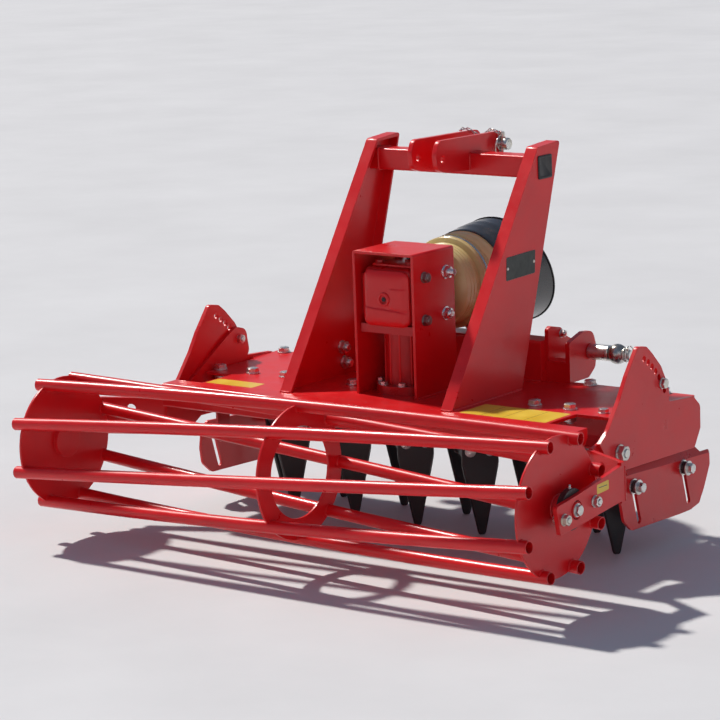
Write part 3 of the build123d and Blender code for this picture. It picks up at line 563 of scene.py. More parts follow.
# ------------------------------------------------------------------ rotors: tine blades with ground edges, their bolts
tip_z, top_z = nbox("tines_1")[4], nbox("tines_1")[5]
for i, x in enumerate(rotor_x):
    m = Mesh()
    lo_x, hi_x, lo_y, hi_y, _, _ = nbox(f"tines_{i + 1}")
    turn = Matrix.Rotation(math.radians(-45.0), 4, "Z")
    base = Matrix.Translation(P(x, ROT_Y, 0)) @ turn
    for s in (1, -1):
        # local frame of a blade: X across it, Y up, Z outwards
        L = base @ Matrix(((0, 0, s, s * 0.113), (s, 0, 0, 0), (0, 1, 0, 0), (0, 0, 0, 1)))
        pts = [(-46, -10), (-51, -18), (-51, -70), (-50, -80), (-11.5, -262), (-9, -268), (-5, -270), (5, -270), (9, -268), (11.5, -262),
               (50, -80), (51, -70), (51, -18), (46, -10)]
        # flat middle and ground flanks
        n = len(pts)
        ring0 = [(p[0], p[1], 0.0) for p in pts]
        cx = lambda p, k: (p[0] * k if p[1] < -75 else p[0] - math.copysign(2.0, p[0]), p[1])
        def inset(p, d):
            if p[1] < -75:
                w = 9.0 * d
                return (math.copysign(max(abs(p[0]) - w, 0.8), p[0]), min(p[1] + (3.0 if p[1] < -255 else 0.0), -78))
            return (math.copysign(abs(p[0]) - 2.0, p[0]), p[1] - (2.0 if p[1] > -20 else 0))
        verts = []
        layers = [(0.55, 0.0), (0.0, 4.0), (0.0, 8.0), (0.55, 12.0)]
        for (d, z) in layers:
            for p in pts:
                q = inset(p, d) if d > 0 else p
                verts.append((q[0], q[1], z))
        faces = []
        for k in range(3):
            for j in range(n):
                faces.append((k * n + j, k * n + (j + 1) % n, (k + 1) * n + (j + 1) % n, (k + 1) * n + j))
        faces.append(tuple(range(n))[::-1])
        faces.append(tuple(3 * n + j for j in range(n)))
        m.add(verts, faces, L, FORGED, False)
    m.make(f"tine_blades_{i + 1}", f"rotor_{i + 1}", replaces=(f"tines_{i + 1}",), angle=20)
    m = Mesh()
    for s in (1, -1):
        for (u, z) in ((-27, -36), (27, -36)):
            o = base @ (Vector((s * 125, u, z)) / 1000.0)
            m.bolt(o, (base.to_3x3() @ Vector((s, 0, 0))), 16, mat=ZINC, spin=0.3 + u, wt=3, head=9)
            o = base @ (Vector((s * 44, u, z)) / 1000.0)
    # clamping collar and the seal's lip over the tine holder
    M = Matrix.Translation(P(x, ROT_Y, 0))
    m.lathe([(25, -4), (57, -4), (60, -6), (60, -12), (56, -15), (46, -15)], M, CAST, 40)
    m.lathe([(0, -72), (16, -72), (18, -70), (18, -63), (34, -62), (36, -58)], M, CAST, 32)
    m.bolt(P(x, ROT_Y, -62), -Z, 20, mat=ZINC, spin=0.2 * i, wt=4, head=11)
    m.make(f"tine_bolts_{i + 1}", f"rotor_{i + 1}")

# ------------------------------------------------------------------ gearbox: ribbed rear cover with its plug, housing details
cover = nbox("gearbox_rear_cover")
m = Mesh()
Lc = Matrix.Translation(P(0, cover[2] + 22, 390)) @ Matrix(((1, 0, 0, 0), (0, 0, -1, 0), (0, 1, 0, 0), (0, 0, 0, 1)))   # X right, Y up, Z rearwards


def squircle(w, h, rr, n=14):
    pts = []
    for (sx, sy, a0) in ((1, 1, 0), (-1, 1, 90), (-1, -1, 180), (1, -1, 270)):
        for k in range(n + 1):
            t = math.radians(a0 + 90 * k / n)
            pts.append((sx * 0 + (w - rr) * (1 if sx > 0 else -1) + rr * math.cos(t), (h - rr) * (1 if sy > 0 else -1) + rr * math.sin(t)))
    return pts


def loft(rings, M, mat, smooth=True, cap=True):
    verts, faces, n = [], [], len(rings[0][0])
    for pts, z in rings:
        verts += [(p[0], p[1], z(p) if callable(z) else z) for p in pts]
    for k in range(len(rings) - 1):
        for j in range(n):
            faces.append((k * n + j, k * n + (j + 1) % n, (k + 1) * n + (j + 1) % n, (k + 1) * n + j))
    if cap:
        faces.append(tuple((len(rings) - 1) * n + j for j in range(n)))
    m.add(verts, faces, M, mat, smooth)


def face_z(p):
    """Cast face: three bands with shallow steps between them, bulging a little."""
    y = p[1]
    z = 16.5 - 5.5 * (p[0] / 76) ** 4 - 3.0 * max(0.0, y / 76) ** 3
    line = -27.0 - 0.05 * p[0] - 6.0 * max(0.0, p[0] / 76) ** 3
    if y < line:
        z += 3.0 * min(1.0, (line - y) / 2.5)
    if p[0] > 18 and line + 4 < y < 30:
        z += 1.6 * min(1.0, (p[0] - 18) / 4) * min(1.0, (30 - y) / 2.5)
    return z


loft([(squircle(76, 76, 24), 0), (squircle(76, 76, 24), 5), (squircle(75.4, 75.4, 24), 6.2), (squircle(74, 74, 23), 7)], Lc, RED)
# the face as a grid so that its bands show
gx, gy = np.linspace(-75, 75, 45), np.linspace(-75, 75, 61)
verts, faces = [], []
for yy in gy:
    for xx in gx:
        px, py = xx, yy
        ax, ay = abs(px), abs(py)
        k = 51.0
        if ax > k and ay > k:
            d = math.hypot(ax - k, ay - k)
            if d > 24.0:
                s = 24.0 / d
                px = math.copysign(k + (ax - k) * s, px)
                py = math.copysign(k + (ay - k) * s, py)
        edge = max(abs(px), abs(py)) / 75.0
        corner = max(0.0, math.hypot(max(0, abs(px) - k), max(0, abs(py) - k)) / 24.0)
        fall = max(edge, corner) ** 10
        verts.append((px, py, 6.4 + (face_z((px, py)) - 6.4) * (1 - min(1.0, fall) * 0.97)))
w = len(gx)
for j in range(len(gy) - 1):
    for i2 in range(w - 1):
        faces.append((j * w + i2, j * w + i2 + 1, (j + 1) * w + i2 + 1, (j + 1) * w + i2))
m.add(verts, faces, Lc, RED, True)
# plug boss and its recessed plug
m.lathe([(19, 14), (18.5, 19.5), (16.5, 20.8), (13, 20.8), (12, 20.0), (12, 16.5), (0, 16.5)], Lc @ Matrix.Translation((0.0, 0.0, 0)), RED, 40)
m.hexagon(12, 2.2, Lc @ Matrix.Translation((0.0, 0.0, 0.0165)), CAST)
m.make("gearbox_cover_cast", "frame", replaces=("gearbox_rear_cover",), angle=40)

m = Mesh()
box_top = P(0, 512, 472)
# filler breather, housing ribs, and the flange bolts round the base
m.block(-64, 64, 448, 566, 472, 479, at(0, 0, 0), RED, 2.0)
# the top bolts and the breather's hexagon are red like the housing, in the darker red that paints shade on them
for s in (-1, 1):
    for k in (-1, 1):
        m.bolt(P(s * 50, 507 + k * 44, 479), Z, 12, mat=RED_DUST_AND_SHADE, spin=0.4 * k, wt=2, head=7.4)
m.hexagon(22, 9, basis(P(22, 500, 479), Z), RED_DUST_AND_SHADE)
m.lathe([(7, 9), (7, 15), (9, 15), (9, 19), (0, 20)], basis(P(22, 500, 479), Z), BLACK, 20)
for k in range(8):
    t = math.radians(45 * k + 22.5)
    m.bolt(P(78 * math.cos(t), 512 + 78 * math.sin(t), 148), Z, 12, mat=ZINC, spin=t, wt=2.5, head=7.5)
for k in range(12):
    t = math.radians(30 * k + 15)
    a1, a2 = P(62 * math.cos(t), 512 + 62 * math.sin(t), 150), P(60 * math.cos(t), 512 + 60 * math.sin(t), 292)
    m.tube([a1, a1.lerp(a2, 0.5), a2], 3.2, RED, 8)
m.make("gearbox_fittings", "frame")

# bolts through the bracket's sides into the gearbox
m = Mesh()
for s in (1, -1):
    for (y, z, stud, size) in ((456, 450, 3, 16), (455, 334, 3, 16), (555, 451, 15, 16), (552, 338, 7, 16)):
        m.bolt(P(s * bracket[1], y, z), X * s, (20 if y > 500 else 16), mat=(BRIGHT if y > 500 else DULL), spin=0.2 + y, stud=stud, head=13, wt=3)
m.make("bracket_bolts", "frame")

# bolts through the left upright's foot
m = Mesh()
for (y, z) in ((602, 203), (612, 158)):
    m.bolt(P(UP_L + 7, y, z), X, 20, mat=ZINC, spin=0.1 * y, stud=9, head=14, wt=3.5)
    m.bolt(P(UP_L, y, z), -X, 20, mat=ZINC, spin=0.2 * y, head=12, wt=3.5)
m.make("upright_foot_bolts", "frame")

# painted shade: the right deflector's top strip, in the fold under the side plate, takes the darker red
fold = frame["nodes"]["deflector_right"]
fold.data.materials.append(RED_DUST_AND_SHADE)
for poly in fold.data.polygons:
    nx, ny, nz = (fold.matrix_world.to_3x3() @ poly.normal).normalized()
    if nx > 0.6 and 0.25 < nz < 0.7:
        poly.material_index = len(fold.data.materials) - 1

# ------------------------------------------------------------------ headstock
m = Mesh()
for (xo, s) in ((UP_R, 1), (UP_L, -1)):
    # end cap with a raised rim, in the crossbar's mouth
    L = Matrix.Translation(P(xo, 790, 716)) @ Matrix(((0, 0, s, 0), (s, 0, 0, 0), (0, 1, 0, 0), (0, 0, 0, 1)))
    def rr(w2, h2, r3):
        return squircle(w2, h2, r3, 6)
    loft([(rr(25, 25, 4), -16), (rr(25, 25, 4), 0), (rr(33, 32, 5), 0.2), (rr(33, 32, 5), 2.6), (rr(31.4, 30.4, 4.5), 3.6),
          (rr(27.5, 26.5, 4), 3.6), (rr(26.5, 25.5, 4), 2.6)], L, CAP)
m.make("crossbar_end_caps", "frame", replaces=("crossbar_caps",), angle=40)

m = Mesh()
# beads where the crossbar meets the uprights and the ears
bz0, bz1, by0, by1 = bar[4], bar[5], bar[2], bar[3]


def loop_yz(x, y0, y1, z0, z1, rr3=6.0):
    pts = []
    for (cy, cz, a0) in ((y1 - rr3, z1 - rr3, 0), (y0 + rr3, z1 - rr3, 90), (y0 + rr3, z0 + rr3, 180), (y1 - rr3, z0 + rr3, 270)):
        for k in range(5):
            t = math.radians(a0 + 22.5 * k)
            pts.append(P(x, cy + rr3 * math.cos(t), cz + rr3 * math.sin(t)))
    return pts


m.weld(loop_yz(up_r[0] - 1.0, by0, by1, bz0, bz1), 2.8, closed=True)
m.weld(loop_yz(up_l[1] + 1.0, by0, by1, bz0, bz1), 2.8, closed=True)
for x in (-49, -33, 33, 49):
    m.weld([P(x, by0 + 3, bz1 + 0.5), P(x, by1 - 3, bz1 + 0.5)], 2.6)
    m.weld([P(x, by0 - 0.5, 703), P(x, by0 - 0.5, bz1 - 3)], 2.6)
# uprights on the deck
for (xo, s) in ((UP_R, 1), (UP_L, -1)):
    m.weld([P(xo + s * 1.0, 330, DECK_Z + 1), P(xo + s * 1.0, 652, DECK_Z + 1)], 3.6)
    m.weld([P(xo - s * 2, 324, DECK_Z + 1), P(xo - s * 35, 324, DECK_Z + 1)], 3.2)
    m.weld([P(xo - s * 2, 656, DECK_Z + 1), P(xo - s * 35, 656, DECK_Z + 1)], 3.2)
# the bracket on the deck
for s in (1, -1):
    m.weld([P(s * (bracket[1] + 0.8), bracket[2] + 4, DECK_Z + 1), P(s * (bracket[1] + 0.8), bracket[3] - 4, DECK_Z + 1)], 3.4)
# lugs on the beam and their feet
for s in (1, -1):
    for x in (276.5, 331.5):
        m.weld([P(s * x, 842, DECK_Z + 4), P(s * x, 842, DECK_Z + 54)], 3.0)
    m.weld([P(s * 264.5, 786, 236), P(s * 264.5, 838, 236)], 3.0)
    m.weld([P(s * 278, 786, DECK_Z + 56.5), P(s * 330, 786, DECK_Z + 56.5)], 2.6)
hb = nbox("hitch_beam")
m.weld([P(-262, hb[2] - 0.5, DECK_Z + 1.5), P(262, hb[2] - 0.5, DECK_Z + 1.5)], 3.6)
# deck on the rear beam and side plates on the deck strips
m.weld([P(-576, 324.0, DECK_Z - 9.0), P(576, 324.0, DECK_Z - 9.0)], 2.4, RED)
m.weld([P(SIDE_R - 12.8, 686, DECK_Z + 0.6), P(SIDE_R - 12.8, 774, DECK_Z + 0.6)], 3.0)
m.weld([P(SIDE_L + 12.8, 686, DECK_Z + 0.6), P(SIDE_L + 12.8, 774, DECK_Z + 0.6)], 3.0)
m.make("frame_welds", "frame")

# ------------------------------------------------------------------ top-link pin, its linch pin and chain
m = Mesh()
pin = Vector((0, 906, 756))
M = basis(P(0, pin.y, pin.z), X)
m.lathe([(0, -62), (9, -62), (9.5, -61), (9.5, 66), (8.5, 68), (0, 68)], M, ZINC, 28)
m.lathe([(9.5, 50), (17, 50), (18, 51), (18, 53.2), (17, 54), (9.5, 54)], M, ZINC, 32)
m.lathe([(9.5, 66), (15, 66), (17, 68), (17, 78), (15, 81), (6, 82.5), (0, 82.5)], M, ZINC, 32)
m.lathe([(9.5, -62), (16, -62), (17, -61), (17, -57), (16, -56), (9.5, -56)], M, ZINC, 32)
# linch pin: stem through the pin, ring folded over it
m.tube([P(59, pin.y, pin.z + 24), P(59, pin.y, pin.z), P(59, pin.y, pin.z - 26)], 4.2, ZINC, 14)
ring = arc_pts(P(57, pin.y - 14, pin.z - 2), Y, Z, 24, 60, 400, 44)
ring = [p + Vector((0.006 * math.sin(math.radians(9 * k)), 0, 0)) for k, p in enumerate(ring)]
m.tube(ring, 2.3, ZINC, 10)
m.lathe([(0, -9), (6, -8), (7, 0), (6, 8), (0, 9)], basis(P(59, pin.y, pin.z + 25), Z), ZINC, 20)


def chain(route, name_mat, link=17.0, width=9.0, wire=1.5):
    """Oval links along a route in metres, each turned a quarter from the last."""
    route = [Vector(p) for p in route]
    seg = [(b - a2).length for a2, b in zip(route, route[1:])]
    total, pitch = sum(seg), (link - 2 * wire) * 0.92 / 1000.0
    count = int(total / pitch)
    for k in range(count):
        d, i3 = (k + 0.5) * total / count, 0
        while i3 < len(seg) - 1 and d > seg[i3]:
            d -= seg[i3]
            i3 += 1
        c = route[i3].lerp(route[i3 + 1], d / seg[i3])
        t = (route[i3 + 1] - route[i3]).normalized()
        side = t.cross(Z if abs(t.z) < 0.9 else X).normalized()
        nrm = t.cross(side)
        roll = math.radians(90 * k + 18 * math.sin(1.7 * k) + 25)
        w2 = side * math.cos(roll) + nrm * math.sin(roll)
        pts, hl, hw = [], (link / 2 - width / 2) / 1000.0, (width / 2 - wire) / 1000.0
        for q in range(9):
            b2 = math.radians(-90 + 22.5 * q)
            pts.append(c + t * (hl + hw * math.cos(b2)) + w2 * hw * math.sin(b2))
        for q in range(9):
            b2 = math.radians(90 + 22.5 * q)
            pts.append(c + t * (-hl + hw * math.cos(b2)) + w2 * hw * math.sin(b2))
        m.tube(pts, wire, name_mat, 7, closed=True)


chain([P(61, 893, 776), P(58, 886, 790), P(46, 882, 797), P(30, 886, 795), P(8, 893, 781), P(-16, 892, 779), P(-36, 890, 792), P(-41, 884, 795), P(-41, 868, 797.5), P(-41, 851, 800)], ZINC)
m.lathe([(0, 0), (5, 0), (5.5, 3), (4, 5), (0, 5.4)], basis(P(-41, 848, 794), Z), ZINC, 18)
m.make("top_link_pin_and_chain", "frame", replaces=("top_link_pin",))

# ------------------------------------------------------------------ lower hitch pins
hp = Vector((0, 888, 196))
m = Mesh()
for s in (1, -1):
    M = basis(P(0, hp.y, hp.z), X * s)
    m.lathe([(0, 249), (13, 249), (14.2, 250.5), (14.2, 474), (12.5, 478), (0, 478)], M, ZINC, 36)
    m.lathe([(14.2, 346), (20, 346), (22, 348), (22, 410), (20, 412.5), (14.2, 412.5)], M, ZINC, 36)
    m.lathe([(14.2, 253), (20, 253), (21, 254), (21, 264), (20, 265), (14.2, 265)], M, ZINC, 36)
    # bevelled collar and ring-pull linch pin outside the ball
    m.lathe([(14.2, 458.5), (20, 458.5), (21, 459.5), (21, 462), (20, 463), (14.2, 463)], M, ZINC, 36)
    m.tube([P(s * 469, hp.y - 6, hp.z + 22), P(s * 469, hp.y, hp.z), P(s * 469, hp.y + 7, hp.z - 24)], 3.6, ZINC, 12)
    m.tube(arc_pts(P(s * 472, hp.y - 1, hp.z + 4), Y, Z, 21, 95, 430, 36), 1.9, ZINC, 10)
    # retaining bolt across the inner lug, over the pin
    m.bolt(P(s * 277, 850, 247), X * s, 12, spin=0.3, stud=4, head=10, wt=2.5)
    m.bolt(P(s * 265, 850, 247), X * -s, 12, spin=0.9, wt=2.5, head=8)
m.make("lower_link_pin_set", "frame", replaces=("lower_link_pins",))
m = Mesh()
for s in (1, -1):
    M = basis(P(0, hp.y, hp.z), X * s)
    rows2 = [(14.3, 435 - 22.5), (16.5, 435 - 22.5)]
    for k in range(17):
        t = math.radians(-53.5 + 107 * k / 16)
        rows2.append((28 * math.cos(t), 435 + 28 * math.sin(t)))
    rows2 += [(16.5, 435 + 22.5), (14.3, 435 + 22.5)]
    m.lathe(rows2, M, STEEL, 48)
m.make("lower_link_ball_set", "frame", replaces=("lower_link_balls",))

# ------------------------------------------------------------------ deflector bolts
m = Mesh()
ear_r, ear_l = 677.0, 664.0
for s, out, inner in ((1, defl_r[1], ear_r), (-1, -defl_l[0], ear_l)):
    for (y, z) in ((513.0, -66.0), (763.0, -66.0)):
        M = basis(P(0, y, z), X * s)
        m.lathe([(7.9, inner - 3), (7.9, out + 20)], M, ZINC, 24)
        m.washer(21, 8, 3.6, M, ZINC, base=out + 0.4)
        m.lathe([(8, out + 4.0), (15.5, out + 4.0), (17, out + 5.2), (17, out + 9.8), (15.6, out + 10.6), (17, out + 11.4), (17, out + 15.2), (15.5, out + 16.4), (8, out + 16.4)], M, CAST, 36)
        m.washer(20, 8, 3.2, M, ZINC, base=out + 16.4)
        m.hexagon(24, 14, M @ Matrix.Rotation(0.3 + y, 4, "Z"), ZINC, base=out + 19.6)
        m.lathe([(9.4, out + 33.55), (8.6, out + 33.9), (0, out + 33.9)], M, ZINC, 24)
        m.washer(15, 8, 2.5, M @ Matrix.Identity(4), ZINC, base=inner - 2.6)
        m.bolt(P(s * (inner - 2.6), y, z), X * -s, 16, spin=y, washer=False, head=9)
m.make("deflector_bolt_set", "frame", replaces=("deflector_bolts",))

# ------------------------------------------------------------------ pivot bolts and quadrant bolts
m = Mesh()
for s, out, in0 in ((1, side_r[1], arm_r[0]), (-1, -side_l[0], -arm_l[1])):
    M = basis(P(0, PIV.y, PIV.z), X * s)
    m.lathe([(0, in0), (11, in0), (12, in0 + 1), (12, out + 20)], M, ZINC, 32)
    m.washer(22, 12, 4, M, ZINC, base=out)
    m.hexagon(36, 17, M @ Matrix.Rotation(0.35, 4, "Z"), ZINC, hole=12, base=out + 4)
    m.thread(11.9, out + 20.8, out + 25, M, ZINC, pitch=3.0)
m.make("pivot_bolt_set", "frame", replaces=("roller_pivot_bolts",))

q = nbox("quadrant_pins")
qy, qz = (q[2] + q[3]) / 2, (q[4] + q[5]) / 2
m = Mesh()
for s, out, in0 in ((1, side_r[1], arm_r[0]), (-1, -side_l[0], -arm_l[1])):
    M = basis(P(0, qy, qz), X * s)
    m.lathe([(7.8, in0 - 13), (7.8, out - 13.0), (7.0, out - 12.8), (0, out - 12.8)], M, ZINC, 24)
    m.hexagon(24, 12.6, basis(P(s * in0, qy, qz), X * -s) @ Matrix.Rotation(0.2, 4, "Z"), ZINC, hole=7.8)
    m.thread(7.8, 12.4, 16, basis(P(s * in0, qy, qz), X * -s), ZINC)
    m.washer(15, 0.5, 3, M, ZINC, base=out + 0.8)
    m.hexagon(24, 10.2, M @ Matrix.Rotation(0.5, 4, "Z"), ZINC, base=out + 3.8)
    m.lathe([(7.5, out + 13.9), (6.8, out + 14.4), (0, out + 14.4)], M, ZINC, 20)
m.make("quadrant_bolt_set", "roller_frame", replaces=("quadrant_pins",))

# ------------------------------------------------------------------ roller arms: bearing bolts, welds, tag
m = Mesh()
for s, out in ((1, arm_r[1]), (-1, -arm_l[0])):
    for (y, z) in ((-58, -12), (80, 5)):
        m.bolt(P(s * out, y, z), X * s, 16, spin=0.4 + y, stud=3.5, head=12.5, wt=3)
        m.bolt(P(s * (out - 18), y, z), X * -s, 16, spin=1.4 + y, washer=False, head=8)
    m.washer(24, 20, 2.0, basis(P(s * (out - 12), 0, 0), X * s), STEEL, base=0.4)
m.make("bearing_bolts", "roller_frame")
m = Mesh()
for s, arm, (i0, i1) in ((1, arm_r, (arm_r[0], arm_r[0] + 9.8)), (-1, arm_l, (-arm_l[1], -arm_l[1] + 10.0))):
    out = 870.0
    m.weld([P(s * (out - 0.5), 222.5, z) for z in np.linspace(-24, 66, 12)], 2.6)
    m.weld([P(s * (out - 13), 213.5, z) for z in np.linspace(-24, 66, 12)], 2.6)
    m.weld([P(s * i1, 300.5, z) for z in np.linspace(-25, 72, 12)], 2.8)
    m.weld([P(s * (i0 + 0.5), 299, 76.5), P(s * i1, 299, 76.5)], 2.2)
m.make("arm_welds", "roller_frame")

# grease nipples on the bearings
m = Mesh()
for s in (1, -1):
    o = P(s * 850, 0, 51)
    m.lathe([(4.5, -2), (4.5, 3), (3, 4), (3, 7), (3.8, 8.5), (2.4, 10.5), (0, 10.8)], basis(o, Z), ZINC, 16)
    M = basis(P(s * 842, 0, 0), X * s)
    m.lathe([(20.5, -1.5), (42, -1.5), (46, 0), (50, 4), (52.3, 8), (52.3, 15)], M, CAST, 48)
m.make("bearing_covers", "roller_frame")

# ------------------------------------------------------------------ roller: beads round each tube at the discs and the ring, axle-end bolts
T = [math.radians(20.6 + 45 * k) for k in range(8)]
m = Mesh()
disc_in, disc_out = 807.0, 813.0
for k in range(8):
    for x in (-disc_out - 0.5, -disc_in + 0.5, disc_in - 0.5, disc_out + 0.5):
        fx = (x + 838.5) / 1677.0
        # the tube bends as an arc through three twisted points, so its centre is found on that arc
        pa = [Vector((-838.5 + 1677 * f, 175 * math.cos(T[k] - math.radians(45) * f), 175 * math.sin(T[k] - math.radians(45) * f))) for f in (0, 0.5, 1)]
        ab, ac = pa[1] - pa[0], pa[2] - pa[0]
        nn = ab.cross(ac)
        cc = pa[0] + (nn.cross(ab) * ac.length_squared + ac.cross(nn) * ab.length_squared) / (2 * nn.length_squared)
        r0 = (pa[0] - cc).length
        u = (pa[1] - cc).normalized()
        v = nn.normalized().cross(u)
        # angle where the arc's x is the disc's x
        lo_a, hi_a = -0.4, 0.4
        fa = lambda t: (cc + (u * math.cos(t) + v * math.sin(t)) * r0).x - x
        ga, gb = lo_a, hi_a
        if fa(ga) > fa(gb):
            ga, gb = gb, ga
        for _ in range(40):
            gm = (ga + gb) / 2
            if fa(gm) < 0:
                ga = gm
            else:
                gb = gm
        c = cc + (u * math.cos(ga) + v * math.sin(ga)) * r0
        tang = (-u * math.sin(ga) + v * math.cos(ga))
        tang = tang if tang.x > 0 else -tang
        inward, loop = math.atan2(-c.z, -c.y), []
        for j in range(17):
            t = inward - 1.5 + 3.0 * j / 16
            loop.append(P(x, c.y + 17.6 * math.cos(t), c.z + 17.6 * math.sin(t)))
        m.weld(loop, 2.5, step=2.2, n=6)
m.make("roller_end_welds", "roller")
m = Mesh()
ring_box = nbox("roller_ring")
rx = (ring_box[0] + ring_box[1]) / 2
for k in range(8):
    f = (rx + 838.5) / 1677.0
    t0 = T[k] - math.radians(45) * 0.5 + math.radians(45) * (0.5 - f)
    c = Vector((rx, 161.8 * math.cos(t0) if False else 175 * math.cos(t0), 175 * math.sin(t0)))
    for sx in (-3.4, 3.4):
        loop = []
        inward = math.atan2(-c.z, -c.y)
        for j in range(15):
            t = inward - 1.45 + 2.9 * j / 14
            loop.append(P(rx + sx, c.y + 17.6 * math.cos(t), c.z + 17.6 * math.sin(t)))
        m.weld(loop, 2.4, step=2.2, n=6)
m.make("roller_ring_welds", "roller")
m = Mesh()
for s in (1, -1):
    M = basis(P(s * 870.8, 0, 0), X * s)
    m.washer(17, 5, 2.5, M, ZINC, base=0.0)
    m.hexagon(24, 9, M @ Matrix.Rotation(0.7, 4, "Z"), ZINC, base=2.5)
    m.lathe([(7, 11.5), (6.4, 12), (0, 12)], M, ZINC, 20)
    Mi = basis(P(s * 838, 0, 0), X * s)
    m.lathe([(20.3, 0), (26, 0), (28, 1.5), (28, 4), (20.3, 4.5)], Mi, STEEL, 36)
    loop = [P(s * 814.5, 30.8 * math.cos(t), 30.8 * math.sin(t)) for t in np.linspace(0, 2 * math.pi, 49)[:-1]]
    m.weld(loop, 3.2, closed=True, mat=RED)
m.make("axle_end_bolts", "roller")

# ------------------------------------------------------------------ input shaft with its splines, and the guard
m = Mesh()
sh = nbox("input_shaft")
M = basis(P(0, 0, 390), Y, X)
teeth, verts, faces = 6, [], []
prof = []
for k in range(teeth):
    for (da, rad) in ((-14.5, 14.6), (-13.5, 17.3), (-7, 17.4), (0, 17.4), (7, 17.4), (13.5, 17.3), (14.5, 14.6), (22, 14.5), (30, 14.5), (38, 14.5)):
        t = math.radians(60 * k + da)
        prof.append((rad * math.cos(t), rad * math.sin(t)))
n = len(prof)
stations = [(661, 1.0), (764, 1.0), (764.2, 0.86), (771.8, 0.86), (772, 1.0), (797.5, 1.0), (800, 0.86)]
for (y, k) in stations:
    verts += [(p[0] * k, p[1] * k, y) for p in prof]
for i2 in range(len(stations) - 1):
    for j in range(n):
        faces.append((i2 * n + j, i2 * n + (j + 1) % n, (i2 + 1) * n + (j + 1) % n, (i2 + 1) * n + j))
faces.append(tuple((len(stations) - 1) * n + j for j in range(n)))
m.add(verts, faces, M, STEEL, False)
m.lathe([(17.3, 561), (17.3, 661)], M, STEEL, 40)
m.lathe([(17.4, 636.6), (26, 636.6), (28, 638.5), (28, 654), (26, 656), (22, 657), (21, 661), (17.0, 661)], M, STEEL, 40)
m.make("splined_shaft", "pto_shaft", replaces=("input_shaft",), angle=28)

g = nbox("input_guard")
m = Mesh()
rows3 = [(64, 630), (64, 624.5), (66, 624), (92, 634), (108, 640.5), (111.5, 643), (112, 646)]
# long plain section with three shallow rolled ribs, then the stepped collar
for y0 in (662, 676, 690):
    rows3 += [(112, y0 - 3), (113.6, y0 - 1.2), (113.6, y0 + 1.2), (112, y0 + 3)]
rows3 += [(112.6, 701), (113.5, 703)]
m.lathe(rows3, M, STRAW, 96)
# the stepped collar in the darker straw: painted shadow
m.lathe([(113.5, 702), (120, 703.5), (126.5, 706), (128, 708), (128, 713), (126.6, 714.5), (126.6, 717), (128, 718.5), (128, 731),
         (126.6, 732.5), (126.6, 735), (128, 736.5), (128, 742), (127.6, 745)], M, STRAW_PAINTED_SHADOW, 96)
m.lathe([(127.6, 744.5), (130.4, 746), (131, 748), (131, 764), (132.2, 766), (132.2, 769), (131, 771), (131.6, 786), (133, 788), (133.4, 792), (133.4, 806),
         (129.4, 806), (128.5, 790), (127, 750), (124, 742), (124, 712), (109, 706), (108, 646), (64, 630)], M, STRAW, 96)
# worm-drive band with its screw housing on the collar, whose darker straw is painted shadow
m.lathe([(128.1, 722.2), (129.0, 722.2), (129.0, 729.8), (128.1, 729.8)], M, STEEL, 96)
for k in range(60):
    t = 2 * math.pi * k / 60
    if 0.15 < (t / (2 * math.pi)) % 1.0 < 0.35:
        continue
Mk = M @ Matrix.Rotation(math.radians(62), 4, "Z")
m.block(128.5, 136.5, -13, 13, 720.5, 731.5, Mk, STEEL, 1.2)
m.hexagon(7, 5, Mk @ Matrix.Translation((0.1325, 0.013, 0.726)) @ Matrix.Rotation(math.radians(-90), 4, "X"), ZINC)
for k in range(4):
    t = math.radians(45 + 90 * k)
    o = P(88 * math.sin(t), 633.2 - 0.3, 390 + 88 * math.cos(t))
    m.bolt(P(88 * math.sin(t), 642.5 - 3, 390 + 88 * math.cos(t)), Y, 8, spin=t, wt=1.6, head=5)
m.make("guard_body", "frame", replaces=("input_guard",), angle=32)

m = Mesh()
tilt = math.radians(21.0)
mouth = Vector((0, 995.0, 393.0))
nn = Vector((0, math.cos(tilt), math.sin(tilt)))


def cone_r(y):
    if y < 868:
        return 137 + (146 - 137) * (y - 806) / 62.0
    return 146 + (160 - 146) * (y - 868) / 207.0


rings, cnt = [], 128
stations = []
for k in range(cnt):
    t = 2 * math.pi * k / cnt
    c, s2 = math.cos(t), math.sin(t)
    # where the cone meets the mouth's plane in this direction
    y_end = 1000.0
    for _ in range(20):
        z = 390 + cone_r(y_end) * s2
        y_end = mouth.y - (z - mouth.z) * nn.z / nn.y
    col = []
    outer = [(134.2, 790), (135.8, 793), (137, 799), (137.6, 806)]
    for q2 in range(1, 15):
        y = 806 + (y_end - 806) * q2 / 14.0
        rad = cone_r(y)
        # two rolled ribs and a beaded lip
        for yr in (842.0, 880.0):
            rad += 1.6 * math.exp(-((y - yr) / 4.0) ** 2)
        outer.append((rad, y))
    outer.append((cone_r(y_end) + 2.2, y_end - 3))
    outer.append((cone_r(y_end) + 2.6, y_end + 0.5))
    outer.append((cone_r(y_end) + 1.0, y_end + 2.6))
    outer.append((cone_r(y_end) - 2.6, y_end + 1.2))
    for q2 in range(13, -1, -1):
        y = 806 + (y_end - 806) * q2 / 14.0
        outer.append((cone_r(y) - 4.2, y - 1.0))
    outer.append((133.6, 800))
    col = [(rad * c, rad * s2, y) for (rad, y) in outer]
    rings.append(col)
hn = len(rings[0])
verts = [p for col in rings for p in col]
faces = []
for k in range(cnt):
    k2 = (k + 1) % cnt
    for j in range(hn):
        j2 = (j + 1) % hn
        faces.append((k * hn + j, k2 * hn + j, k2 * hn + j2, k * hn + j2))
# local frame: X right, Y up, Z forward would be left-handed, so the points go straight to the row
m.add([(p[0], p[2], 390 + p[1]) for p in verts], faces, at(0, 0, 0), BLACK, True)
m.make("guard_mouth_cone", "frame", replaces=("input_guard_mouth",), angle=50)

# ------------------------------------------------------------------ plates, films and tags: all blank
m = Mesh()


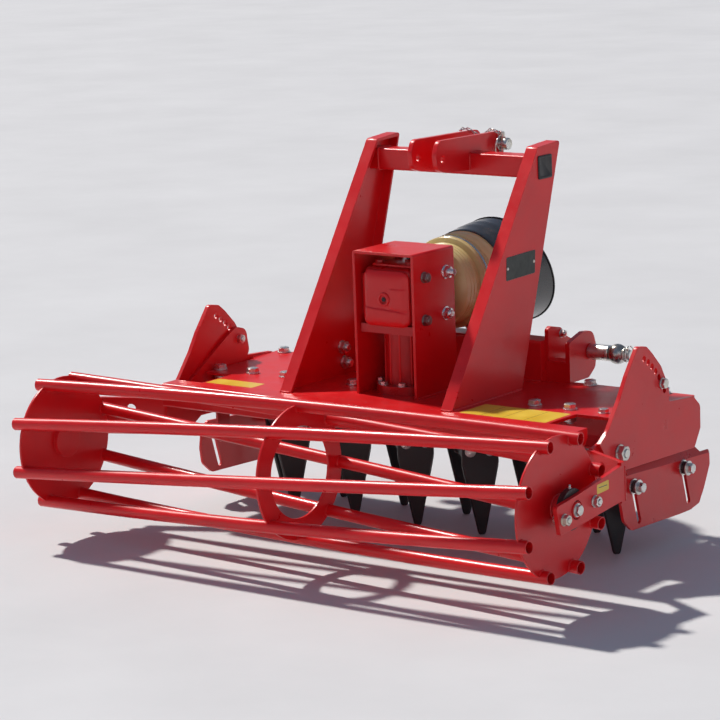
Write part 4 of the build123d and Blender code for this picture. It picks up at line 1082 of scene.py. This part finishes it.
def film(pts, zdir, mat, t=0.25, inset=0.0):
    """Thin film through corner points in metres; zdir is its outward side."""
    c = sum(pts, Vector()) / len(pts)
    x = (pts[1] - pts[0]).normalized()
    Mf = basis(c, zdir, x)
    inv = Mf.inverted()
    loc = [(inv @ p) * 1000 for p in pts]
    out = []
    n4 = len(loc)
    for i4, p in enumerate(loc):
        p0, p1 = loc[i4 - 1], loc[(i4 + 1) % n4]
        a3 = (p0 - p).normalized()
        b3 = (p1 - p).normalized()
        rr4 = 4.0
        for k in range(5):
            w5 = k / 4.0
            out.append(((p + a3 * rr4 * (1 - w5) ** 2 + b3 * rr4 * w5 ** 2).x, (p + a3 * rr4 * (1 - w5) ** 2 + b3 * rr4 * w5 ** 2).y))
    area2 = sum(out[i4 - 1][0] * out[i4][1] - out[i4][0] * out[i4 - 1][1] for i4 in range(len(out)))
    if area2 < 0:
        out = out[::-1]
    m.solid(out, 0.05, t, Mf, mat)


zf = DECK_Z
film([P(296, 326, zf), P(566, 326, zf), P(566, 449, zf), P(296, 449, zf)], Z, YELLOW)
film([P(-572, 331, zf), P(-407, 331, zf), P(-407, 392, zf), P(-572, 392, zf)], Z, YELLOW)
for (x0, x1) in ((296, 566),):
    for k in range(1, 4):
        xk = x0 + (x1 - x0) * k / 4
        m.block(xk - 0.6, xk + 0.6, 330, 445, zf + 0.24, zf + 0.34, at(0, 0, 0), INK, 0)
m.make("deck_films", "frame")

m = Mesh()
film([P(870.0, 92, 19), P(870.0, 146, 22), P(870.0, 146, 46), P(870.0, 92, 43)], X, YELLOW)
m.block(870.25, 870.35, 100, 138, 33.5, 35.5, at(0, 0, 0), INK, 0)
m.make("arm_tag", "roller_frame")

m = Mesh()
pl = [P(UP_R, 592, 431), P(UP_R, 730, 434), P(UP_R, 734, 497), P(UP_R, 596, 494)]
film(pl, X, PLATE, t=1.0)
for (y, z) in ((600, 463), (726, 466)):
    m.lathe([(4.2, 0.9), (4.2, 1.6), (3.2, 2.6), (0, 3.0)], basis(P(UP_R, y, z), X), ZINC, 18)
m.make("serial_plate", "frame")


# ------------------------------------------------------------------ camera, floor, light
f_px = 3024.977
C = Vector((4788.53, -6007.99, 1760.0))
a, e, r = 0.649717, 0.189194, -0.034713
fwd = Vector((-math.sin(a) * math.cos(e), math.cos(a) * math.cos(e), -math.sin(e)))
right = Vector((math.cos(a), math.sin(a), 0))
up = right.cross(fwd)
r2 = right * math.cos(r) + up * math.sin(r)
u2 = -right * math.sin(r) + up * math.cos(r)
cam = bpy.data.cameras.new("camera")
cam.lens, cam.sensor_width = f_px / 720.0 * 36.0, 36.0
cam.clip_start, cam.clip_end = 0.1, 200.0
cam_ob = bpy.data.objects.new("camera", cam)
M = Matrix((r2, u2, -fwd)).transposed().to_4x4()
M.translation = P(*C)
cam_ob.matrix_world = M
bpy.context.scene.collection.objects.link(cam_ob)
bpy.context.scene.camera = cam_ob

floor_mat = Nodes("pale_floor")
fc = floor_mat.ramp(floor_mat.noise(1.3, 6.0, 0.6), [(0.3, (0.60, 0.595, 0.60)), (0.7, (0.66, 0.655, 0.66))])
floor_mat.done(fc, 0.7, floor_mat.bump(floor_mat.noise(90.0, 6.0, 0.7), 0.08, 0.002))
fm = bpy.data.meshes.new("floor")
n_seg = 96
fm.from_pydata([(60 * math.cos(2 * math.pi * i / n_seg), 60 * math.sin(2 * math.pi * i / n_seg), 0.0) for i in range(n_seg)], [], [list(range(n_seg))])
fm.materials.append(floor_mat.mat)
floor = bpy.data.objects.new("floor", fm)
bpy.context.scene.collection.objects.link(floor)

world = bpy.data.worlds.new("studio")
bpy.context.scene.world = world
world.use_nodes = True
wt = world.node_tree
bg = wt.nodes["Background"]
# a soft gradient: bright at the horizon, darker and bluer overhead
tc = wt.nodes.new("ShaderNodeTexCoord")
sep = wt.nodes.new("ShaderNodeSeparateXYZ")
wt.links.new(tc.outputs["Generated"], sep.inputs[0])
rp = wt.nodes.new("ShaderNodeValToRGB")
wt.links.new(sep.outputs["Z"], rp.inputs[0])
rp.color_ramp.elements[0].position, rp.color_ramp.elements[0].color = 0.0, (1.0, 0.98, 1.0, 1)
rp.color_ramp.elements[1].position, rp.color_ramp.elements[1].color = 0.34, (0.26, 0.32, 0.46, 1)
wt.links.new(rp.outputs[0], bg.inputs["Color"])
bg.inputs["Strength"].default_value = 0.60


def area(name, to, distance, size, power, color=(1, 1, 1), target=(0, 0, 0.35), size_y=None):
    light = bpy.data.lights.new(name, "AREA")
    light.shape = "RECTANGLE"
    light.size, light.size_y = size, size_y or size
    light.energy = power
    light.color = color
    ob = bpy.data.objects.new(name, light)
    d = Vector(to).normalized()
    ob.location = Vector(target) + d * distance
    ob.rotation_mode = "QUATERNION"
    ob.rotation_quaternion = (-d).to_track_quat("-Z", "Y")
    bpy.context.scene.collection.objects.link(ob)
    return ob


sun = bpy.data.lights.new("key", "SUN")
sun.energy, sun.angle, sun.color = 3.7, math.radians(3.0), (1.0, 0.965, 0.91)
sun_ob = bpy.data.objects.new("key", sun)
sun_ob.rotation_mode = "QUATERNION"
sun_ob.rotation_quaternion = Vector((0.76, -0.13, -1.0)).normalized().to_track_quat("-Z", "Y")
bpy.context.scene.collection.objects.link(sun_ob)
area("fill", (0.9, -0.8, 0.5), 9.0, 5.0, 34, (0.95, 0.97, 1.0))
bpy.context.scene.view_settings.view_transform = "Standard"
bpy.context.scene.view_settings.look = "None"
bpy.context.scene.view_settings.exposure = 0.0
